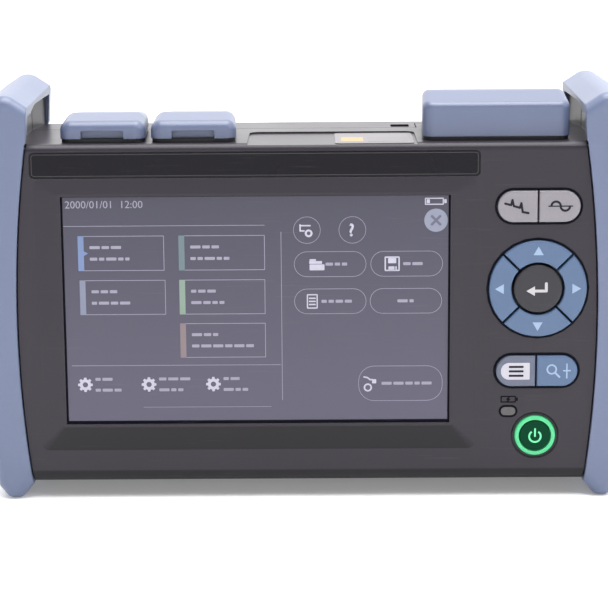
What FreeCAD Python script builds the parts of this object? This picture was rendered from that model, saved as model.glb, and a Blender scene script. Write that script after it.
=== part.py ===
"""Hand-held optical time domain reflectometer, as an assembly of separate solids.

Frame: +X to the right of someone who looks at the screen, +Y from the screen to the back,
+Z up. The origin is on the table, under the middle of the instrument. Millimetres.
"""
import FreeCAD, Part
import math
import os

V = FreeCAD.Vector

# ------------------------------------------------------------------ shells
wall = 2.5                 # wall of both housing shells
side_wall = 1.4            # front shell's wall behind the edge of a bumper
bumper_proud = 1.0         # how far the bumpers stand out from the housing, front and back
body_bottom = 4.7          # underside of the housing above the table
seam_gap = 0.3
seal_cord = 0.9            # half the thickness of the seal between the shells
tongue_depth = 10.0        # how far the front shell's top runs on behind the large cover

# ------------------------------------------------------------------ screen
lcd_width = 120.7
lcd_height = 75.8
lcd_thick = 4.5
lcd_rim = 0.8
lcd_border_x = 5.6         # rim of the module outside the picture
lcd_border_z = 5.0
chassis_thick = 1.2
window_gap = 0.15
window_thick = 1.4
window_sink = 0.5          # window's face below the raised surround
surround_rise = 0.9
surround_top = 4.0         # width of the sloping flanks of the surround
surround_bottom = 7.0
surround_side = 6.5
surround_land = 0.9        # flat rim between the opening and the flanks
ledge = 1.2                # ledge that carries the window
gasket_thick = 0.3
screen_width = lcd_width - 2 * lcd_border_x
screen_height = lcd_height - 2 * lcd_border_z

# ------------------------------------------------------------------ battery and boards
cell_width = 37.0
cell_height = 68.0
cell_depth = 19.5
bay_wall = 1.5
bay_gap = 0.3
board_thick = 1.6
key_board_setback = 6.0    # from the front wall's inside to the keypad's circuit board
main_board_setback = 14.5  # from the front wall's inside to the main circuit board
board_to_cell = 13.1       # room behind the main board for its parts and the tray

# ------------------------------------------------------------------ keys
key_proud = 0.9            # keys above the front face
key_gap = 0.35             # clearance round a key
key_travel = 0.8
key_round = 0.45
flange_out = 0.9           # flange that keeps a key behind the front wall
flange_thick = 0.9
flange_gap = 0.2
pill_width = 23.2
pill_height = 8.9
pill_left = 11.4           # width of the left key of a pair
pill_slot = 0.22           # half the gap between a pair
dpad_r = 13.8
dpad_inner_r = 7.5
dpad_split = 0.55          # slot between neighbouring arrow keys
enter_r = 6.85
enter_flange_r = 8.3
dpad_reach = dpad_r + key_gap + flange_out

# ------------------------------------------------------------------ layout
screen_margin = 18.15      # outside of the left bumper to the screen module
screen_to_keypad = 4.2     # screen module to the flanges of the arrow keys
keypad_to_edge = 1.75      # those flanges to the bumper's inner edge
edge_inset = 10.7          # widest part of the front face to the outside of a bumper
screen_border = 22.3       # housing below and above the screen module, together
keypad_height = 98.1       # height of the housing that the column of keys needs
keypad_margin = dpad_reach + keypad_to_edge + edge_inset
half_width = (screen_margin + lcd_width + screen_to_keypad + dpad_reach + keypad_margin) / 2
body_top = body_bottom + max(lcd_height + screen_border, keypad_height)
body_middle = (body_bottom + body_top) / 2
depth = 2 * (bumper_proud + wall) + main_board_setback + board_thick + board_to_cell + cell_depth + bay_gap
front_y = -depth / 2
back_y = depth / 2
case_front = front_y + bumper_proud
case_back = back_y - bumper_proud
inner_front = case_front + wall
inner_back = case_back - wall
inner_top = body_top - wall
inner_bottom = body_bottom + wall
seam_y = case_front + 36.0  # where the front and rear shells meet
screen_x = -half_width + screen_margin + lcd_width / 2
screen_z = body_middle + 1.55
keypad_x = half_width - keypad_margin
key_board_y = inner_front + key_board_setback
main_board_y = inner_front + main_board_setback
beyond = 2 * half_width    # clears the whole instrument

# ------------------------------------------------------------------ bumpers and horns
edge_middle = half_width - edge_inset   # inner edge of a bumper, as half widths of the front face
edge_top = edge_middle - 3.8
edge_bottom = edge_middle - 3.1
hollow_half = half_width - 8.7     # half the width of the room inside
bumper_wall = 4.0
bumper_gap = 0.35                  # shadow line between a bumper and the front face
seat_gap = 0.1                     # clearance of a piece in its seat
horn_wall_x = half_width - 11.5    # inner face of a horn, under the bumper's lip
horn_back_x = half_width - 13.8
ear_inner_z = body_top + 10.2      # top of the bumper's inner edge, at the front
apex_x = half_width - 8.3
apex_rise = 3.5                    # ridge of the ear above its inner edge
ear_outer_z = body_top + 8.2
ear_lean = 0.5                      # how much its inner edge leans in on the way up
ear_slope = 1.4                    # how much the ear rises from front to back
lip = 3.0                          # thickness of the bumper over a horn
arch_rise = 9.6                    # height of the ear's open side above the top face
arch_reach = 22.5                  # how far back its front curve runs
foot_x = half_width - 7.8
foot_width = 3.2
foot_rise = 4.2
flank_z = body_bottom + 29.3       # where a bumper's foot has run out into its straight side
bumper_round = 4.5

# ------------------------------------------------------------------ port covers
small_cover_width = 24.4
small_cover_height = 4.7           # front edge of a cover above its seal
small_cover_crest = 6.2            # its ridge above the seal
small_cover_heel = 3.9             # its back edge above the seal
small_cover_margin = 23.3          # outside of the left bumper to the first cover
small_cover_space = 1.2
large_cover_width = 41.9
large_cover_height = 9.3
large_cover_crest = 12.2
large_cover_heel = 6.0
large_cover_margin = 18.3          # large cover to the outside of the right bumper
small_cover_front = case_front + 3.8
small_cover_back = seam_y + 3.6
large_cover_front = case_front + 4.4
large_cover_back = seam_y + 12.6
small_cover_round = 2.8
large_cover_round = 2.0
crest_place = 12.8                 # front of a cover to its ridge
crest_round = 10.0
cover_lean = 0.05                  # how much a cover's sides lean in towards the back
cover_corner = 3.2
cover_wall = 1.5
seal_height = 1.0
seal_inset = 0.35
seal_width = 1.3
cover_gap = 0.1
knuckle_r = 1.5
hinge_clear = 0.45
pin_r = 0.75
pin_gap = 0.05
lug_gap = 0.3
knuckle_width = 3.0
knuckle_inset = 2.2                # side of a cover to its knuckle
grip_width = 12.0                  # finger recess in a small cover
grip_height = 2.3
grip_deep = 1.8
first_cover_x = -half_width + small_cover_margin + small_cover_width / 2
small_cover_xs = (first_cover_x, first_cover_x + small_cover_width + small_cover_space)
large_cover_x = half_width - large_cover_margin - large_cover_width / 2
covers = [(small_cover_xs[0], False), (small_cover_xs[1], False), (large_cover_x, True)]
cover_base = body_top + cover_gap + seal_height
tongue_x0 = large_cover_x - large_cover_width / 2
tongue_x1 = large_cover_x + large_cover_width / 2 + 1.6

# ------------------------------------------------------------------ name strip, label
strip_x0 = -half_width + 15.2
strip_x1 = keypad_x - 16.5
strip_z = body_top - 5.8
strip_height = 7.4
strip_deep = 0.5
strip_round = 1.4
strip_gap = 0.3
pocket_x0 = small_cover_xs[1] + small_cover_width / 2 + 3.0   # pocket for the label, in the top
pocket_x1 = tongue_x0 - 1.3
pocket_length = 27.4
label_size = (22.2, 23.6)
label_deep = 0.5
label_thick = 0.2
notch_size = (5.5, 6.1, 1.4)       # small notch in the rear shell's top
notch_x = tongue_x0 - 4.8
notch_y = seam_y + 5.0

# ------------------------------------------------------------------ places of the keys
dpad_z = body_middle + 7.45
upper_pill_z = dpad_z + dpad_r + 5.25 + pill_height / 2
lower_pill_z = dpad_z - dpad_r - 5.65 - pill_height / 2
power_x = keypad_x - 0.2
power_z = body_bottom + 13.5
power_r = 4.4
power_ring_r = 5.8
power_ring_gap = 0.12
power_dish_r = 6.9                 # shallow dish that the lit ring sits in
power_dish = 0.45
led_x = keypad_x - 7.95
led_z = power_z + 7.2
led_width = 4.2
led_height = 2.4
led_gap = 0.25
dome_r = 2.2
dome_height = 1.2
dome_gap = 0.1
key_face = case_front - key_proud
flange_front = inner_front + flange_gap
dome_top = key_board_y - dome_height
stem_end = dome_top - key_travel - dome_gap

# ------------------------------------------------------------------ connectors
usb_size = (13.2, 5.7, 14.0)
usb_c_size = (9.0, 3.3, 8.6)
port_xs = (large_cover_x - 9.55, large_cover_x + 9.45)
port_y = case_front + 23.0
port_rise = 7.0                    # optical adapters above the top face
adapter_size = (9.4, 12.8)
adapter_key_size = (7.4, 9.4)
laser_port_r = 4.6
ferrule_bore_r = 1.275
ferrule_bore_depth = 6.0
flange_size = (13.4, 22.0, 1.6)

# ------------------------------------------------------------------ inside
board_left_space = 23.3            # from the outside of the housing to the main board
board_right_space = 56.8
board_foot_space = 10.3
board_top_space = 1.7              # under the roof, inside
main_board = (-half_width + board_left_space, half_width - board_right_space,
              body_bottom + board_foot_space, inner_top - board_top_space)
module_gap = 3.0                   # main board to the optical module
module_height = 40.6
module_side_space = 12.8           # from the outside of the housing
module_front_lap = 2.5             # how far it stands forward of the main board
module_back_space = 4.0
module_top_space = 9.7
module_top = inner_top - module_top_space
optical_module = (main_board[1] + module_gap, half_width - module_side_space,
                  main_board_y - module_front_lap, inner_back - module_back_space,
                  module_top - module_height, module_top)
cell_left_space = 17.7             # from the outside of the housing
cell_x = -half_width + cell_left_space + cell_width / 2
cell_z = body_middle + 1.65
cell_back = inner_back - bay_gap
cell_front = cell_back - cell_depth
bay_x0 = cell_x - cell_width / 2 - bay_gap
bay_x1 = cell_x + cell_width / 2 + bay_gap
bay_z0 = cell_z - cell_height / 2 - bay_gap
bay_z1 = cell_z + cell_height / 2 + bay_gap
door_margin = 1.6
door_thick = 1.5
door_screw_r = 2.3
door_flange = 5.6                  # part of the door below the bay, for its screws

# ------------------------------------------------------------------ stand
stand_to_door = 4.2
stand_width = -2 * (bay_x1 + door_margin + stand_to_door)
stand_top = body_top - 25.8        # height of the stand's pin
stand_foot = body_bottom + 8.3
stand_thick = 3.6
stand_recess = 4.2
stand_gap = 0.5
stand_pin_r = 1.0
stand_rib = 1.0
stand_floor = case_back - stand_recess
stand_axis_y = case_back - 0.3 - stand_thick / 2

# ------------------------------------------------------------------ fibre tray
tray_room = optical_module[0] - bay_x1 - bay_wall
tray_x = optical_module[0] - tray_room / 2 - 1.35
tray_z = screen_z - 3.3
tray_wall = 1.2
tray_depth = 8.0
tray_y = stand_floor - wall - 2.9 - tray_depth
coil_thick = 5.0
coil_clear = 1.0
coil_r = tray_room / 2 - 4.95 - tray_wall - coil_clear - coil_thick / 2

# ------------------------------------------------------------------ screws
screw_x = half_width - 19.3
screw_low_z = body_bottom + 6.3
screw_high_z = body_top - 6.0
boss_r = 3.4
screw_r = 1.5
screw_head_r = 2.8
screw_head = 2.0
screw_bite = 8.0
screw_slot = 0.8
screw_places = [(x, z) for x in (-screw_x, screw_x) for z in (screw_low_z, screw_high_z)]
surround_face = case_front - surround_rise
window_face = surround_face + window_sink
ledge_face = window_face + window_thick + gasket_thick


# ================================================================== helpers
def box(x0, x1, y0, y1, z0, z1):
    """Block between two corners."""
    return Part.makeBox(x1 - x0, y1 - y0, z1 - z0, V(x0, y0, z0))


def rod_x(y, z, r, x0, x1):
    """Cylinder along X."""
    return Part.makeCylinder(r, x1 - x0, V(x0, y, z), V(1, 0, 0))


def rod_y(x, z, r, y0, y1):
    """Cylinder along Y."""
    return Part.makeCylinder(r, y1 - y0, V(x, y0, z), V(0, 1, 0))


def rod_z(x, y, r, z0, z1):
    """Cylinder along Z."""
    return Part.makeCylinder(r, z1 - z0, V(x, y, z0), V(0, 0, 1))


def rounded_wire(u0, u1, w0, w1, r, place):
    """Rectangle with round corners; place turns (u, w) into a point."""
    d = r * (1 - math.sqrt(0.5))
    lines = [((u0 + r, w0), (u1 - r, w0)), ((u1, w0 + r), (u1, w1 - r)),
             ((u1 - r, w1), (u0 + r, w1)), ((u0, w1 - r), (u0, w0 + r))]
    mids = [(u1 - d, w0 + d), (u1 - d, w1 - d), (u0 + d, w1 - d), (u0 + d, w0 + d)]
    edges = []
    for i, (start, end) in enumerate(lines):
        if math.dist(start, end) > 1e-6:
            edges.append(Part.makeLine(place(*start), place(*end)))
        following = lines[(i + 1) % 4][0]
        edges.append(Part.Arc(place(*end), place(*mids[i]), place(*following)).toShape())
    return Part.Wire(edges)


def slab_y(x0, x1, z0, z1, r, y0, y1):
    """Plate with round corners that faces along Y."""
    wire = rounded_wire(x0, x1, z0, z1, r, lambda u, w: V(u, y0, w))
    return Part.Face(wire).extrude(V(0, y1 - y0, 0))


def slab_z(x0, x1, y0, y1, r, z0, z1):
    """Plate with round corners that lies flat."""
    wire = rounded_wire(x0, x1, y0, y1, r, lambda u, w: V(u, w, z0))
    return Part.Face(wire).extrude(V(0, 0, z1 - z0))


def pill_y(x, z, width, height, y0, y1):
    """Plate with half-round ends that faces along Y."""
    return slab_y(x - width / 2, x + width / 2, z - height / 2, z + height / 2, height / 2, y0, y1)


def outline(points, place):
    """Closed wire: a pair is a corner, a triple is an arc's middle point, before its end."""
    corners = [p for p in points if len(p) == 2]
    edges = []
    here = corners[0]
    middle = None
    for point in points[1:] + [corners[0]]:
        if len(point) == 3:
            middle = point
            continue
        if middle is None:
            edges.append(Part.makeLine(place(*here), place(*point)))
        else:
            edges.append(Part.Arc(place(*here), place(*middle[:2]), place(*point)).toShape())
        here = point
        middle = None
    return Part.Wire(edges)


def prism_y(points, y0, y1, rise=0.0):
    """Outline in X and Z, drawn out along Y, and climbing by rise on the way."""
    wire = outline(points, lambda u, w: V(u, y0, w))
    return Part.Face(wire).extrude(V(0, y1 - y0, rise))


def prism_z(points, z0, z1):
    """Outline in X and Y, drawn out along Z."""
    wire = outline(points, lambda u, w: V(u, w, z0))
    return Part.Face(wire).extrude(V(0, 0, z1 - z0))


def prism_x(points, x0, x1):
    """Outline in Y and Z, drawn out along X."""
    wire = outline(points, lambda u, w: V(x0, u, w))
    return Part.Face(wire).extrude(V(x1 - x0, 0, 0))


def middle_of(edge):
    """Point half way along an edge."""
    return edge.valueAt((edge.FirstParameter + edge.LastParameter) / 2)


def soften(shape, radius, wanted):
    """Fillet the edges whose middle point passes the test."""
    return shape.makeFillet(radius, [e for e in shape.Edges if wanted(middle_of(e))])


def near(a, b):
    """Whether two lengths are the same."""
    return abs(a - b) < 1e-4


def mirror_x(shape):
    """The same piece on the other side of the instrument."""
    return shape.mirror(V(0, 0, 0), V(1, 0, 0))


def joined(shapes):
    """Several touching solids as one, without seams on shared planes."""
    return shapes[0].multiFuse(shapes[1:]).removeSplitter()


# ================================================================== housing envelope
def edge_points(gap):
    """Bowed side edge of the front face, from the bottom up."""
    return ((edge_bottom + gap, body_bottom), (edge_middle + gap, body_middle, 0),
            (edge_top + gap, body_top))


def trunk():
    """Middle of the housing, between the two bumpers."""
    low, middle, high = edge_points(0)
    points = [(-low[0], low[1]), low, middle, high, (-high[0], high[1]), (-middle[0], middle[1], 0)]
    solid = prism_y(points, case_front, case_back)

    def top_edge(p):
        return near(p.z, body_top) and abs(p.y) > case_back - 1e-3

    def bottom_edge(p):
        return near(p.z, body_bottom) and abs(p.y) > case_back - 1e-3

    solid = soften(solid, 2.4, top_edge)
    return soften(solid, 3.8, bottom_edge)


def side_core(grow, inner_x):
    """Side of the housing that fills the right bumper, with its horn; grow makes it larger."""
    out_x = half_width - bumper_wall + grow
    low = body_bottom + 0.9 - grow
    roof = ear_inner_z - lip + grow
    ridge = roof + apex_rise - 1.2
    points = [(inner_x, low), (foot_x - 1.0, low), (out_x - 1.6, body_bottom + 4.3 - grow, 0),
              (out_x, flank_z), (out_x, ear_outer_z - lip), (out_x - 0.9, ear_outer_z - lip + 2.0, 0),
              (apex_x + 1.5, ridge), (apex_x, ridge + 0.2, 0), (apex_x - 1.5, ridge),
              (edge_top + 0.5, roof + 0.4), (inner_x, roof + 0.4)]
    return prism_y(points, front_y + bumper_wall - grow, back_y - bumper_wall + grow)


def horn_cut():
    """Space beside a horn, above the top face."""
    front = front_y - 1
    points = [(edge_top - 8, front), (horn_wall_x, front), (horn_wall_x, seam_y),
              (horn_back_x, back_y - bumper_wall + 0.5), (horn_back_x, back_y + 1),
              (edge_top - 8, back_y + 1)]
    return prism_z(points, body_top, beyond)


def envelope():
    """Outside of the closed housing: trunk, sides and horns."""
    core = side_core(0, edge_top - 3).cut(horn_cut())
    return joined([trunk(), core, mirror_x(core)])


def hollow():
    """Room inside the housing: wide at the middle, less deep inside the bumpers."""
    side = wall + bumper_wall - bumper_proud
    low, middle, high = edge_points(-side_wall)
    points = [(-low[0], low[1]), low, middle, high, (-high[0], high[1]), (-middle[0], middle[1], 0)]
    room = prism_y(points, inner_front, inner_back)
    room = room.common(box(-beyond, beyond, front_y, back_y, inner_bottom, inner_top))
    wide = box(-hollow_half, hollow_half, case_front + side, case_back - side,
               inner_bottom + 1.5, inner_top)
    horn = box(horn_wall_x + 1.8, half_width - bumper_wall - 1.8, case_front + side + 1,
               case_back - side - 1, inner_top - 1, ear_inner_z - lip - 1.0)
    return joined([room, wide, horn, mirror_x(horn)])


def front_side(gap):
    """Everything that belongs to the front shell; gap grows it across the seam."""
    main = box(-beyond, beyond, front_y - 5, seam_y + gap, -5, beyond)
    tongue = box(tongue_x0 - gap, tongue_x1 + gap, seam_y - 1, seam_y + tongue_depth + gap,
                 inner_top - 0.01, body_top + 1)
    return main.fuse(tongue)


def surround():
    """Low raised frame about the screen, with sloping flanks."""
    x0, x1, z0, z1 = screen_box(surround_land)
    top = rounded_wire(x0, x1, z0, z1, 0.8, lambda u, w: V(u, surround_face, w))
    base = rounded_wire(x0 - surround_side, x1 + surround_side, z0 - surround_bottom,
                        z1 + surround_top, 2.0, lambda u, w: V(u, case_front, w))
    under = rounded_wire(x0 - surround_side, x1 + surround_side, z0 - surround_bottom,
                         z1 + surround_top, 2.0, lambda u, w: V(u, case_front + 0.5, w))
    return Part.makeLoft([top, base, under], True, True)


def screen_box(grow):
    """Left, right, bottom and top of the screen opening, grown all round."""
    return (screen_x - screen_width / 2 - grow, screen_x + screen_width / 2 + grow,
            screen_z - screen_height / 2 - grow, screen_z + screen_height / 2 + grow)


def ring_sector(r0, r1, y0, y1, middle_deg, slot):
    """Quarter of a ring round the keypad's middle, cut back by half a slot on each side."""
    ring = rod_y(keypad_x, dpad_z, r1, y0, y1).cut(rod_y(keypad_x, dpad_z, r0, y0 - 1, y1 + 1))
    reach = 3 * r1
    off = slot / math.sqrt(2)
    wedge = outline([(off, 0), (reach + off, reach), (reach + off, -reach)],
                    lambda u, w: V(u, y0 - 1, w))
    cutter = Part.Face(wedge).extrude(V(0, y1 - y0 + 2, 0))
    cutter.rotate(V(0, 0, 0), V(0, 1, 0), -middle_deg)
    cutter.translate(V(keypad_x, 0, dpad_z))
    return ring.common(cutter)


# ================================================================== shells
def front_case():
    """Front shell: screen opening, key holes, port holes, bosses for the screws."""
    shell = envelope().common(front_side(0)).cut(hollow())
    shell = joined([shell, surround()])
    reach = (front_y - 1, inner_front + 3)
    cuts = [box(*screen_box(0)[:2], front_y - 1, ledge_face, *screen_box(0)[2:]),
            box(*screen_box(-ledge)[:2], *reach, *screen_box(-ledge)[2:])]
    for z in (upper_pill_z, lower_pill_z):
        cuts.append(pill_y(keypad_x, z, pill_width + 2 * key_gap, pill_height + 2 * key_gap, *reach))
    cuts.append(rod_y(keypad_x, dpad_z, dpad_r + key_gap, *reach))
    cuts.append(rod_y(power_x, power_z, power_ring_r + power_ring_gap, *reach))
    cuts.append(power_dish_form())
    cuts.append(pill_y(led_x, led_z, led_width + 2 * led_gap, led_height + 2 * led_gap, *reach))
    cuts.append(slab_y(strip_x0, strip_x1, strip_z - strip_height / 2, strip_z + strip_height / 2,
                       strip_round, front_y - 1, case_front + strip_deep))
    cuts.append(slab_z(pocket_x0, pocket_x1, front_y - 10, case_front + pocket_length, 3.0,
                       body_top - label_deep, body_top + 5))
    cuts.append(connector_holes())
    cuts.append(seal_ring(0))
    bosses = []
    for x, z in screw_places:
        bosses.append(rod_y(x, z, boss_r, inner_front - 0.5, seam_y))
        cuts.append(rod_y(x, z, screw_r + 0.05, seam_y - screw_bite - 1, seam_y + 1))
    web = 1.2
    for x, z in screw_places:
        toward = math.copysign(1, z - screen_z)
        edge = inner_top + 0.5 if toward > 0 else inner_bottom - 0.5
        low, high = sorted((z, edge))
        bosses.append(box(x - web / 2, x + web / 2, inner_front - 0.5, seam_y, low, high))
    for x in (keypad_x - 14.3, keypad_x + 13.7):
        for z in (dpad_z + 15.8, dpad_z - 16.7, power_z + 1.8):
            bosses.append(rod_y(x, z, 1.5, inner_front - 0.5, key_board_y))
    shell = joined([shell] + bosses)
    return shell.cut(Part.Compound(cuts))


def power_dish_form():
    """Shallow cone sunk into the front face about the lit ring."""
    return Part.makeCone(power_dish_r + power_dish, power_dish_r - power_dish, 2 * power_dish,
                         V(power_x, case_front - power_dish, power_z), V(0, 1, 0))


def connector_holes():
    """Holes in the top wall for the connectors under the three covers."""
    z0, z1 = inner_top - 2, body_top + 2
    clear = 0.3
    holes = []
    for x, (sx, sy) in zip(small_cover_xs, (usb_size[:2], usb_c_size[:2])):
        holes.append(slab_z(x - sx / 2 - clear, x + sx / 2 + clear, socket_y(sy) - sy / 2 - clear,
                            socket_y(sy) + sy / 2 + clear, 0.6, z0, z1))
    ax, ay = adapter_size
    holes.append(slab_z(port_xs[0] - ax / 2 - clear, port_xs[0] + ax / 2 + clear,
                        port_y - ay / 2 - clear, port_y + ay / 2 + clear, 0.8, z0, z1))
    holes.append(rod_z(port_xs[1], port_y, laser_port_r + clear, z0, z1))
    return Part.Compound(holes)


def socket_y(thickness):
    """Middle of a socket that stands on the back of the main board."""
    return main_board_y + board_thick + thickness / 2


def seal_ring(gap):
    """Rubber cord between the two shells; gap makes it thinner than its groove."""
    half = seal_cord - gap
    ring = []
    for grow in (seal_cord - gap, -0.5 + gap):
        ring.append(box(-hollow_half - grow, hollow_half + grow, seam_y - half, seam_y + half,
                        inner_bottom - grow, inner_top + grow))
    return ring[0].cut(ring[1])


def hinge_place(is_large):
    """Y and Z of a cover's hinge."""
    back = large_cover_back if is_large else small_cover_back
    return back + knuckle_r + hinge_clear, cover_base + 0.7


def cover_size(is_large):
    """Width, front and back of a cover."""
    if is_large:
        return large_cover_width, large_cover_front, large_cover_back
    return small_cover_width, small_cover_front, small_cover_back


def lug_width(is_large):
    """Width of the housing's lug, between a cover's two knuckles."""
    width, front, back = cover_size(is_large)
    return width - 2 * (cover_lean * (back - front) + knuckle_inset + knuckle_width + lug_gap)


def hinge_lug(x, is_large):
    """Lug on the rear shell that holds a cover's pin."""
    y, z = hinge_place(is_large)
    half = lug_width(is_large) / 2
    foot = body_top - 1.8
    points = [(y - knuckle_r, foot), (y - knuckle_r, z), (y, z + knuckle_r, 0), (y + knuckle_r, z),
              (y + knuckle_r, foot)]
    return prism_x(points, x - half, x + half)


def rear_case():
    """Rear shell: battery bay, recess for the stand, lugs of the covers, screw posts."""
    shell = envelope().cut(front_side(seam_gap)).cut(hollow())
    start = seam_y + seam_gap
    half = stand_width / 2 + stand_gap
    top = stand_top + stand_thick / 2 + stand_gap
    low = stand_foot - stand_gap
    pod = box(-half - wall, half + wall, stand_floor - wall, inner_back + 0.5, low - wall, top + wall)
    bay = box(bay_x0 - bay_wall, bay_x1 + bay_wall, cell_front - bay_gap, inner_back + 0.5,
              bay_z0 - bay_wall, bay_z1 + bay_wall)
    adds = [pod, bay]
    cuts = [slab_y(-half, half, low, top - 2, 3.0, stand_floor, back_y + 1),
            box(-half, half, stand_floor, back_y + 1, top - 8, top),
            box(bay_x0, bay_x1, cell_front - bay_gap - 1, inner_back + 0.01, bay_z0, bay_z1),
            door_plate(seat_gap), box(bay_x0 + 1.5, bay_x1 - 1.5, inner_back - 1, case_back,
                                      bay_z0 + 1.5, bay_z1 - 1.5),
            rod_x(stand_axis_y, stand_top, stand_pin_r + pin_gap, -half - wall + 0.6,
                  half + wall - 0.6), seal_ring(0), thumb_scoop()]
    sx, sy, deep = notch_size
    cuts.append(slab_z(notch_x - sx / 2, notch_x + sx / 2, notch_y - sy / 2, notch_y + sy / 2, 0.8,
                       body_top - deep, body_top + 1))
    for x, is_large in covers:
        adds.append(hinge_lug(x, is_large))
        y, z = hinge_place(is_large)
        cuts.append(rod_x(y, z, pin_r + pin_gap, x - 60, x + 60).common(hinge_lug(x, is_large)))
    for x, z in screw_places:
        adds.append(rod_y(x, z, boss_r, start, inner_back + 0.5))
        cuts.append(rod_y(x, z, screw_r + 0.25, start - 1, case_back + 1))
        cuts.append(rod_y(x, z, screw_head_r + 0.25, case_back - screw_head - 0.4, case_back + 1))
    for x, z in door_screw_places():
        adds.append(rod_y(x, z, screw_r + 1.5, inner_back - 4.5, inner_back + 0.5))
        cuts.append(rod_y(x, z, screw_r + 0.05, inner_back - 3.5, case_back + 1))
    for x, z in optics_posts():
        adds.append(rod_y(x, z, 2.0, optical_module[3], inner_back + 0.5))
    return joined([shell] + adds).cut(Part.Compound(cuts))


def optics_posts():
    """Posts of the rear shell that carry the optical module at its corners."""
    x0, x1, _, _, z0, z1 = optical_module
    return [(x, z) for x in (x0 + 5, x1 - 5) for z in (z0 + 2.1, z1 - 2.1)]


def thumb_scoop():
    """Hollow below the stand's foot, for a fingernail."""
    r = 9.0
    return rod_y(0, stand_foot - stand_gap + r - 4.0, r, stand_floor + 1.2, back_y + 1)


def door_plate(grow):
    """Battery door, or its seat in the rear shell when grown."""
    m = door_margin
    return slab_y(bay_x0 - m - grow, bay_x1 + m + grow, bay_z0 - door_flange - grow,
                  bay_z1 + m + grow, 2.0 + grow, case_back - door_thick - grow, case_back + grow)


def door_screw_places():
    """The battery door's two screws."""
    return [(x, bay_z0 - door_flange / 2) for x in (bay_x0 + 5, bay_x1 - 5)]


# ================================================================== bumpers
def bumper_form():
    """Solid form of the right bumper, before it is hollowed for the housing's side."""
    low, middle, high = edge_points(bumper_gap)
    toe, heel = foot_x - foot_width / 2 - 0.6, foot_x + foot_width / 2
    over = 2 * ear_inner_z - body_top
    points = [(low[0], foot_rise), (toe, 0), (heel, 0), (half_width - 3.4, 3.6),
              (half_width - 1.0, flank_z / 2, 0), (half_width, flank_z), (half_width, over),
              (edge_top - 2 * ear_lean, over), (edge_top, body_top + 0.6), high, middle, low]
    block = prism_y(points, front_y, back_y)
    block = soften(block, 2.4, lambda p: near(p.y, 0) and p.z < 4.0 and p.x > toe - 0.1)
    ridge = ear_inner_z + apex_rise + 0.9
    fall = (ridge - ear_inner_z) / (apex_x - edge_top + ear_lean)
    roof_points = [(edge_top - 6, -beyond), (half_width + 6, -beyond), (half_width + 6, ear_outer_z - 3.3),
                   (apex_x, ridge), (edge_top - 6, ridge - fall * (apex_x - edge_top + 6))]
    roof = prism_y(roof_points, front_y, back_y, ear_slope)
    form = block.common(roof)
    crest = ear_inner_z + ear_slope / 2
    form = soften(form, 5.0, lambda p: near(p.y, 0) and p.z > crest + 2 and p.x > apex_x - 1
                  and p.x < apex_x + 1)
    return soften(form, bumper_round, lambda p: near(p.y, 0) and near(p.x, half_width)
                  and p.z > body_top - 2.8)


def right_bumper():
    """Rubber bumper that wraps the right side of the housing and stands up as an ear."""
    form = bumper_form()

    def rim(p, face):
        on_inner_edge = p.x < edge_middle + bumper_gap + 0.1 and foot_rise < p.z < ear_inner_z
        return near(p.y, face) and not on_inner_edge and p.z > 0.01

    form = soften(form, bumper_round - 1.2, lambda p: rim(p, front_y))
    form = soften(form, 2.0, lambda p: rim(p, back_y))
    return form.cut(side_core(seat_gap, edge_top - 8)).cut(ear_arch())


def ear_arch():
    """Open side of the ear: its front curves up and back into the lip."""
    start = front_y + 0.4
    end = front_y + arch_reach
    back = back_y - bumper_wall
    points = [(start, body_top - 1), (start, body_top),
              (start + 0.3 * arch_reach, body_top + 0.6 * arch_rise, 0),
              (end, body_top + arch_rise), (back, body_top + arch_rise - 0.5), (back, body_top - 1)]
    return prism_x(points, edge_top - 8, horn_wall_x - 0.05)


# ================================================================== display
def display_pieces():
    """Window, its gasket, the screen module and the plate behind it."""
    window = slab_y(screen_box(-window_gap)[0], screen_box(-window_gap)[1],
                    screen_box(-window_gap)[2], screen_box(-window_gap)[3], 0.6,
                    window_face, window_face + window_thick)
    gasket = box(*screen_box(-window_gap)[:2], window_face + window_thick, ledge_face,
                 *screen_box(-window_gap)[2:])
    gasket = gasket.cut(box(*screen_box(-ledge - 0.2)[:2], front_y, back_y, *screen_box(-ledge - 0.2)[2:]))
    y = inner_front + flange_gap
    x0, x1 = screen_x - lcd_width / 2, screen_x + lcd_width / 2
    z0, z1 = screen_z - lcd_height / 2, screen_z + lcd_height / 2
    frame_box = box(x0, x1, y, y + lcd_thick, z0, z1)
    lcd = frame_box.cut(box(*screen_box(1.5)[:2], y - 1, y + lcd_rim, *screen_box(1.5)[2:]))
    plate_y = y + lcd_thick + seat_gap
    chassis = slab_y(x0 + 1, x1, z0 - 1.0, z1 - 1.2, 3.0, plate_y, plate_y + chassis_thick)
    windows = [slab_y(cx - 17, cx + 17, cz - 12, cz + 12, 3.0, plate_y - 1, plate_y + 3)
               for cx in (screen_x - 32, screen_x + 32) for cz in (screen_z - 17, screen_z + 17)]
    chassis = chassis.cut(Part.Compound(windows))
    posts = [hexagon_y(x, z, 2.6, plate_y + chassis_thick, main_board_y)
             for x in (main_board[0] + 4.5, main_board[1] - 6.0)
             for z in (main_board[2] + 7.0, main_board[3] - 12.6)]
    return {"touch_panel": window, "display_gasket": gasket, "lcd_module": lcd,
            "display_chassis": chassis, "board_standoffs": Part.Compound(posts)}


def hexagon_y(x, z, r, y0, y1):
    """Six-sided standoff along Y."""
    corners = [(x + r * math.cos(math.radians(60 * i)), z + r * math.sin(math.radians(60 * i)))
               for i in range(6)]
    return prism_y(corners, y0, y1)


# ================================================================== keys
def key_edges(shape, face_y):
    """Round the front rim of a key."""
    return soften(shape, key_round, lambda p: near(p.y, face_y))


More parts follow.
